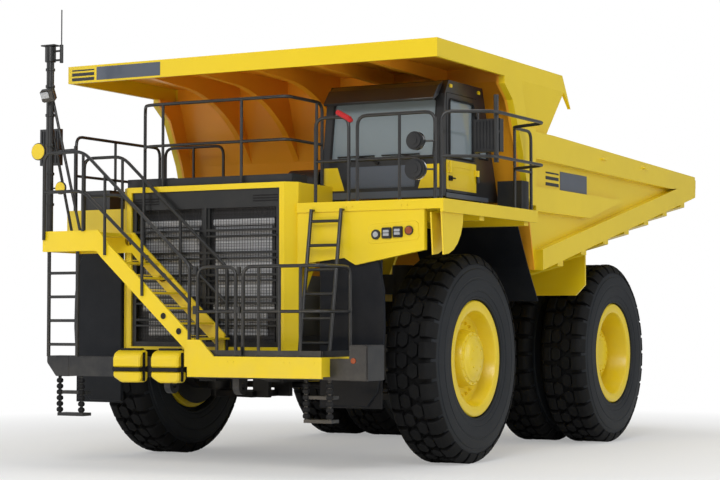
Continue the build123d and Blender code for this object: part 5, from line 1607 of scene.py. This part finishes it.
# ------------------------------------------------------------------ dump body
@dataclass
class BodyTrim:
    """Stripes, blank panels and hooks of the body."""

    shop: Workshop

    def make(self) -> None:
        """Build the trim."""
        paint = self.shop.finishes
        stripes, panels, hooks = Shape(), Shape(), Shape()
        for side in (-1, 1):
            face = side * 2.6465
            for low, high in ((3.700, 3.745), (3.785, 3.830), (3.868, 3.890)):
                stripes.box((min(face, face + side * 0.004), -0.700, low),
                            (max(face, face + side * 0.004), -0.235, high), 0.001)
            panels.box((min(face, face + side * 0.004), -0.185, 3.665),
                       (max(face, face + side * 0.004), 0.835, 3.925), 0.001)
            for y in (1.20, 2.95):
                hooks.tube([(side * 2.75, y - 0.07, 4.20), (side * 2.80, y - 0.07, 4.20),
                            (side * 2.80, y + 0.07, 4.20),
                            (side * 2.75, y + 0.07, 4.20)], 0.013, 10, 0.03)
        lip = CANOPY_FRONT - 0.003
        for low, high in ((5.050, 5.092), (5.115, 5.157), (5.182, 5.200)):
            stripes.box((-2.70, lip - 0.001, low), (-2.335, lip + 0.004, high), 0.001)
        panels.box((-2.295, lip - 0.001, 5.045), (-1.270, lip + 0.004, 5.222), 0.001)
        self.shop.add(stripes, "body_stripes", paint.charcoal, Slot.BLACK, "dump_body")
        self.shop.add(panels, "body_blank_panels", paint.steel_blue, Slot.GREY, "dump_body")
        self.shop.add(hooks, "body_side_hooks", paint.yellow, Slot.YELLOW, "dump_body")


# ------------------------------------------------------------------ studio
@dataclass(frozen=True)
class Lamp:
    """A square soft lamp aimed at a point; the camera doesn't see it."""

    name: str
    place: Point
    size: float
    power: float
    target: Point = (0, 0, 2)
    colour: Colour = (1.0, 1.0, 1.0)

    def make(self) -> Piece:
        """Light it."""
        data = bpy.data.lights.new(self.name, "AREA")
        data.shape, data.size, data.energy, data.color = "SQUARE", self.size, self.power, self.colour
        made = bpy.data.objects.new(self.name, data)
        made.location = self.place
        made.rotation_euler = (Vector(self.target) - Vector(self.place)).to_track_quat("-Z", "Y").to_euler()
        made.visible_camera = False
        bpy.context.scene.collection.objects.link(made)
        return made


LAMPS = (
    Lamp("floor_bounce", (-0.5, -12.0, 0.06), 7, 720, (-0.5, -11.0, 6), (1.0, 0.80, 0.55)),
    Lamp("key_lamp", (9, -24, 14), 10, 2600),
    Lamp("left_fill", (24, 2, 9), 14, 1350),
    Lamp("right_fill", (-18, -16, 8), 14, 750),
    Lamp("top_lamp", (0, 2, 20), 16, 1500, (0, 0, 0)),
)


@dataclass
class Studio:
    """Pale floor, plain light and the camera."""

    spot: tuple[float, float, float] = (12.479, -24.246, 1.812)
    azimuth: float = 28.424
    up: float = 2.552
    lens: float = 92.24
    reach: float = 400.0
    paper: float = 6.0
    lift: float = 0.32

    def floor(self) -> Piece:
        """A wide pale floor."""
        data = bpy.data.meshes.new("studio_floor")
        corners = [(x * self.reach, y * self.reach, 0) for x, y in ((-1, -1), (1, -1), (1, 1), (-1, 1))]
        data.from_pydata(corners, [], [(0, 1, 2, 3)])
        made = bpy.data.objects.new("studio_floor", data)
        bpy.context.scene.collection.objects.link(made)
        graph = Graph("studio_floor_paper")
        graph.feed("Base Color", (0.86, 0.86, 0.85, 1.0))
        graph.feed("Roughness", 0.9)
        graph.feed("Specular IOR Level", 0.1)
        # The paper reads a little lighter to the camera, and turns plain white where it meets the backdrop.
        reach_node = graph.node("ShaderNodeVectorMath", {"operation": "LENGTH"}, {0: graph.place()})
        far = Wire(graph, reach_node.outputs["Value"]).between(self.paper, self.paper * 2.0)
        camera_ray = Wire(graph, graph.node("ShaderNodeLightPath").outputs["Is Camera Ray"])
        white = graph.node("ShaderNodeEmission", None, {"Color": (1, 1, 1, 1), "Strength": 1.0})
        mix = graph.node("ShaderNodeMixShader", None, {
            0: (far * (1.0 - self.lift) + self.lift) * camera_ray, 1: Wire(graph, graph.shader.outputs[0]),
            2: Wire(graph, white.outputs[0])})
        graph.tree.links.new(mix.outputs[0], graph.output.inputs["Surface"])
        data.materials.append(graph.material)
        return made

    def world(self) -> None:
        """Even white surroundings: white to the camera, softer as light."""
        world = bpy.data.worlds.new("studio_world")
        world.use_nodes = True
        tree = world.node_tree
        tree.nodes.clear()
        path, seen = tree.nodes.new("ShaderNodeLightPath"), tree.nodes.new("ShaderNodeBackground")
        soft, mix = tree.nodes.new("ShaderNodeBackground"), tree.nodes.new("ShaderNodeMixShader")
        out = tree.nodes.new("ShaderNodeOutputWorld")
        seen.inputs["Color"].default_value, seen.inputs["Strength"].default_value = (1, 1, 1, 1), 1.0
        soft.inputs["Color"].default_value, soft.inputs["Strength"].default_value = (0.97, 0.98, 1.0, 1), 0.36
        tree.links.new(path.outputs["Is Camera Ray"], mix.inputs[0])
        tree.links.new(soft.outputs[0], mix.inputs[1])
        tree.links.new(seen.outputs[0], mix.inputs[2])
        tree.links.new(mix.outputs[0], out.inputs["Surface"])
        bpy.context.scene.world = world

    def camera(self) -> Piece:
        """The viewing camera."""
        data = bpy.data.cameras.new("viewing_camera")
        data.lens, data.sensor_width, data.clip_end = self.lens, 36.0, 500.0
        made = bpy.data.objects.new("viewing_camera", data)
        made.location = self.spot
        made.rotation_euler = (math.radians(90 + self.up), 0.0, math.radians(self.azimuth))
        bpy.context.scene.collection.objects.link(made)
        bpy.context.scene.camera = made
        return made

    def make(self) -> None:
        """Set the stage."""
        bpy.context.scene.view_settings.view_transform = "Standard"
        self.world()
        self.camera()
        lamps = [lamp.make() for lamp in LAMPS]
        self.floor()


@dataclass
class Dressing:
    """Finishes of the nodes that stay visible."""

    finishes: Finishes

    def make(self, nodes: dict[str, Piece]) -> None:
        """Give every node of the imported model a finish.

        Args:
            nodes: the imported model's meshes by name.
        """
        paint = self.finishes
        table = {
            # The body nodes take the guard paint, with its orange painted shade under the cab guard.
            "bed_canopy": paint.guard, "canopy_flanks": paint.guard, "bed_tub": paint.guard,
            "frame_rails": paint.chassis, "grille_guard": paint.rail, "radiator": paint.dark_core,
            "engine_block": paint.iron, "cab_shell": paint.cab, "cab_glass": paint.glass,
            "door_glass": paint.glass,
            "cab_console": paint.plastic, "cab_seats": paint.cloth, "cab_door": paint.door,
            "mud_guards": paint.flap,
            "access_ladders": paint.rail, "hanging_steps": paint.rail, "front_bumper": paint.charcoal,
            "mirrors": paint.rail, "mast": paint.rail, "deck_equipment": paint.charcoal,
            "front_suspension": paint.chassis, "tie_rod": paint.chassis, "rear_axle": paint.chassis,
            "driveline": paint.chassis,
        }
        for name, piece in nodes.items():
            finish = table.get(name, paint.yellow)
            if name.endswith("handrails"):
                finish = paint.rail
            elif name.endswith("knuckle"):
                finish = paint.chassis
            elif name.endswith("_stage"):
                finish = paint.bright
            elif name.endswith("_rod") and "hoist" in name:
                finish = paint.chrome
            elif "tyre" in name:
                finish = paint.tread
            piece.data.materials.clear()
            piece.data.materials.append(finish)


def main() -> None:
    """Build the truck in order and report each piece."""
    logging.basicConfig(level=logging.INFO, format="%(message)s")
    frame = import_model()
    shop = Workshop(Finishes(), Repeater())
    Dressing(shop.finishes).make(frame["nodes"])
    for assembly in (Tyres(shop), Rims(shop), Grille(shop), FrontEnd(shop), DeckFront(shop), Rails(shop),
                     Cab(shop), Mirrors(shop),
                     BodyTrim(shop)):
        LOG.info("building %s", type(assembly).__name__)
        assembly.make()
    Studio().make()


if __name__ == "__main__":
    main()
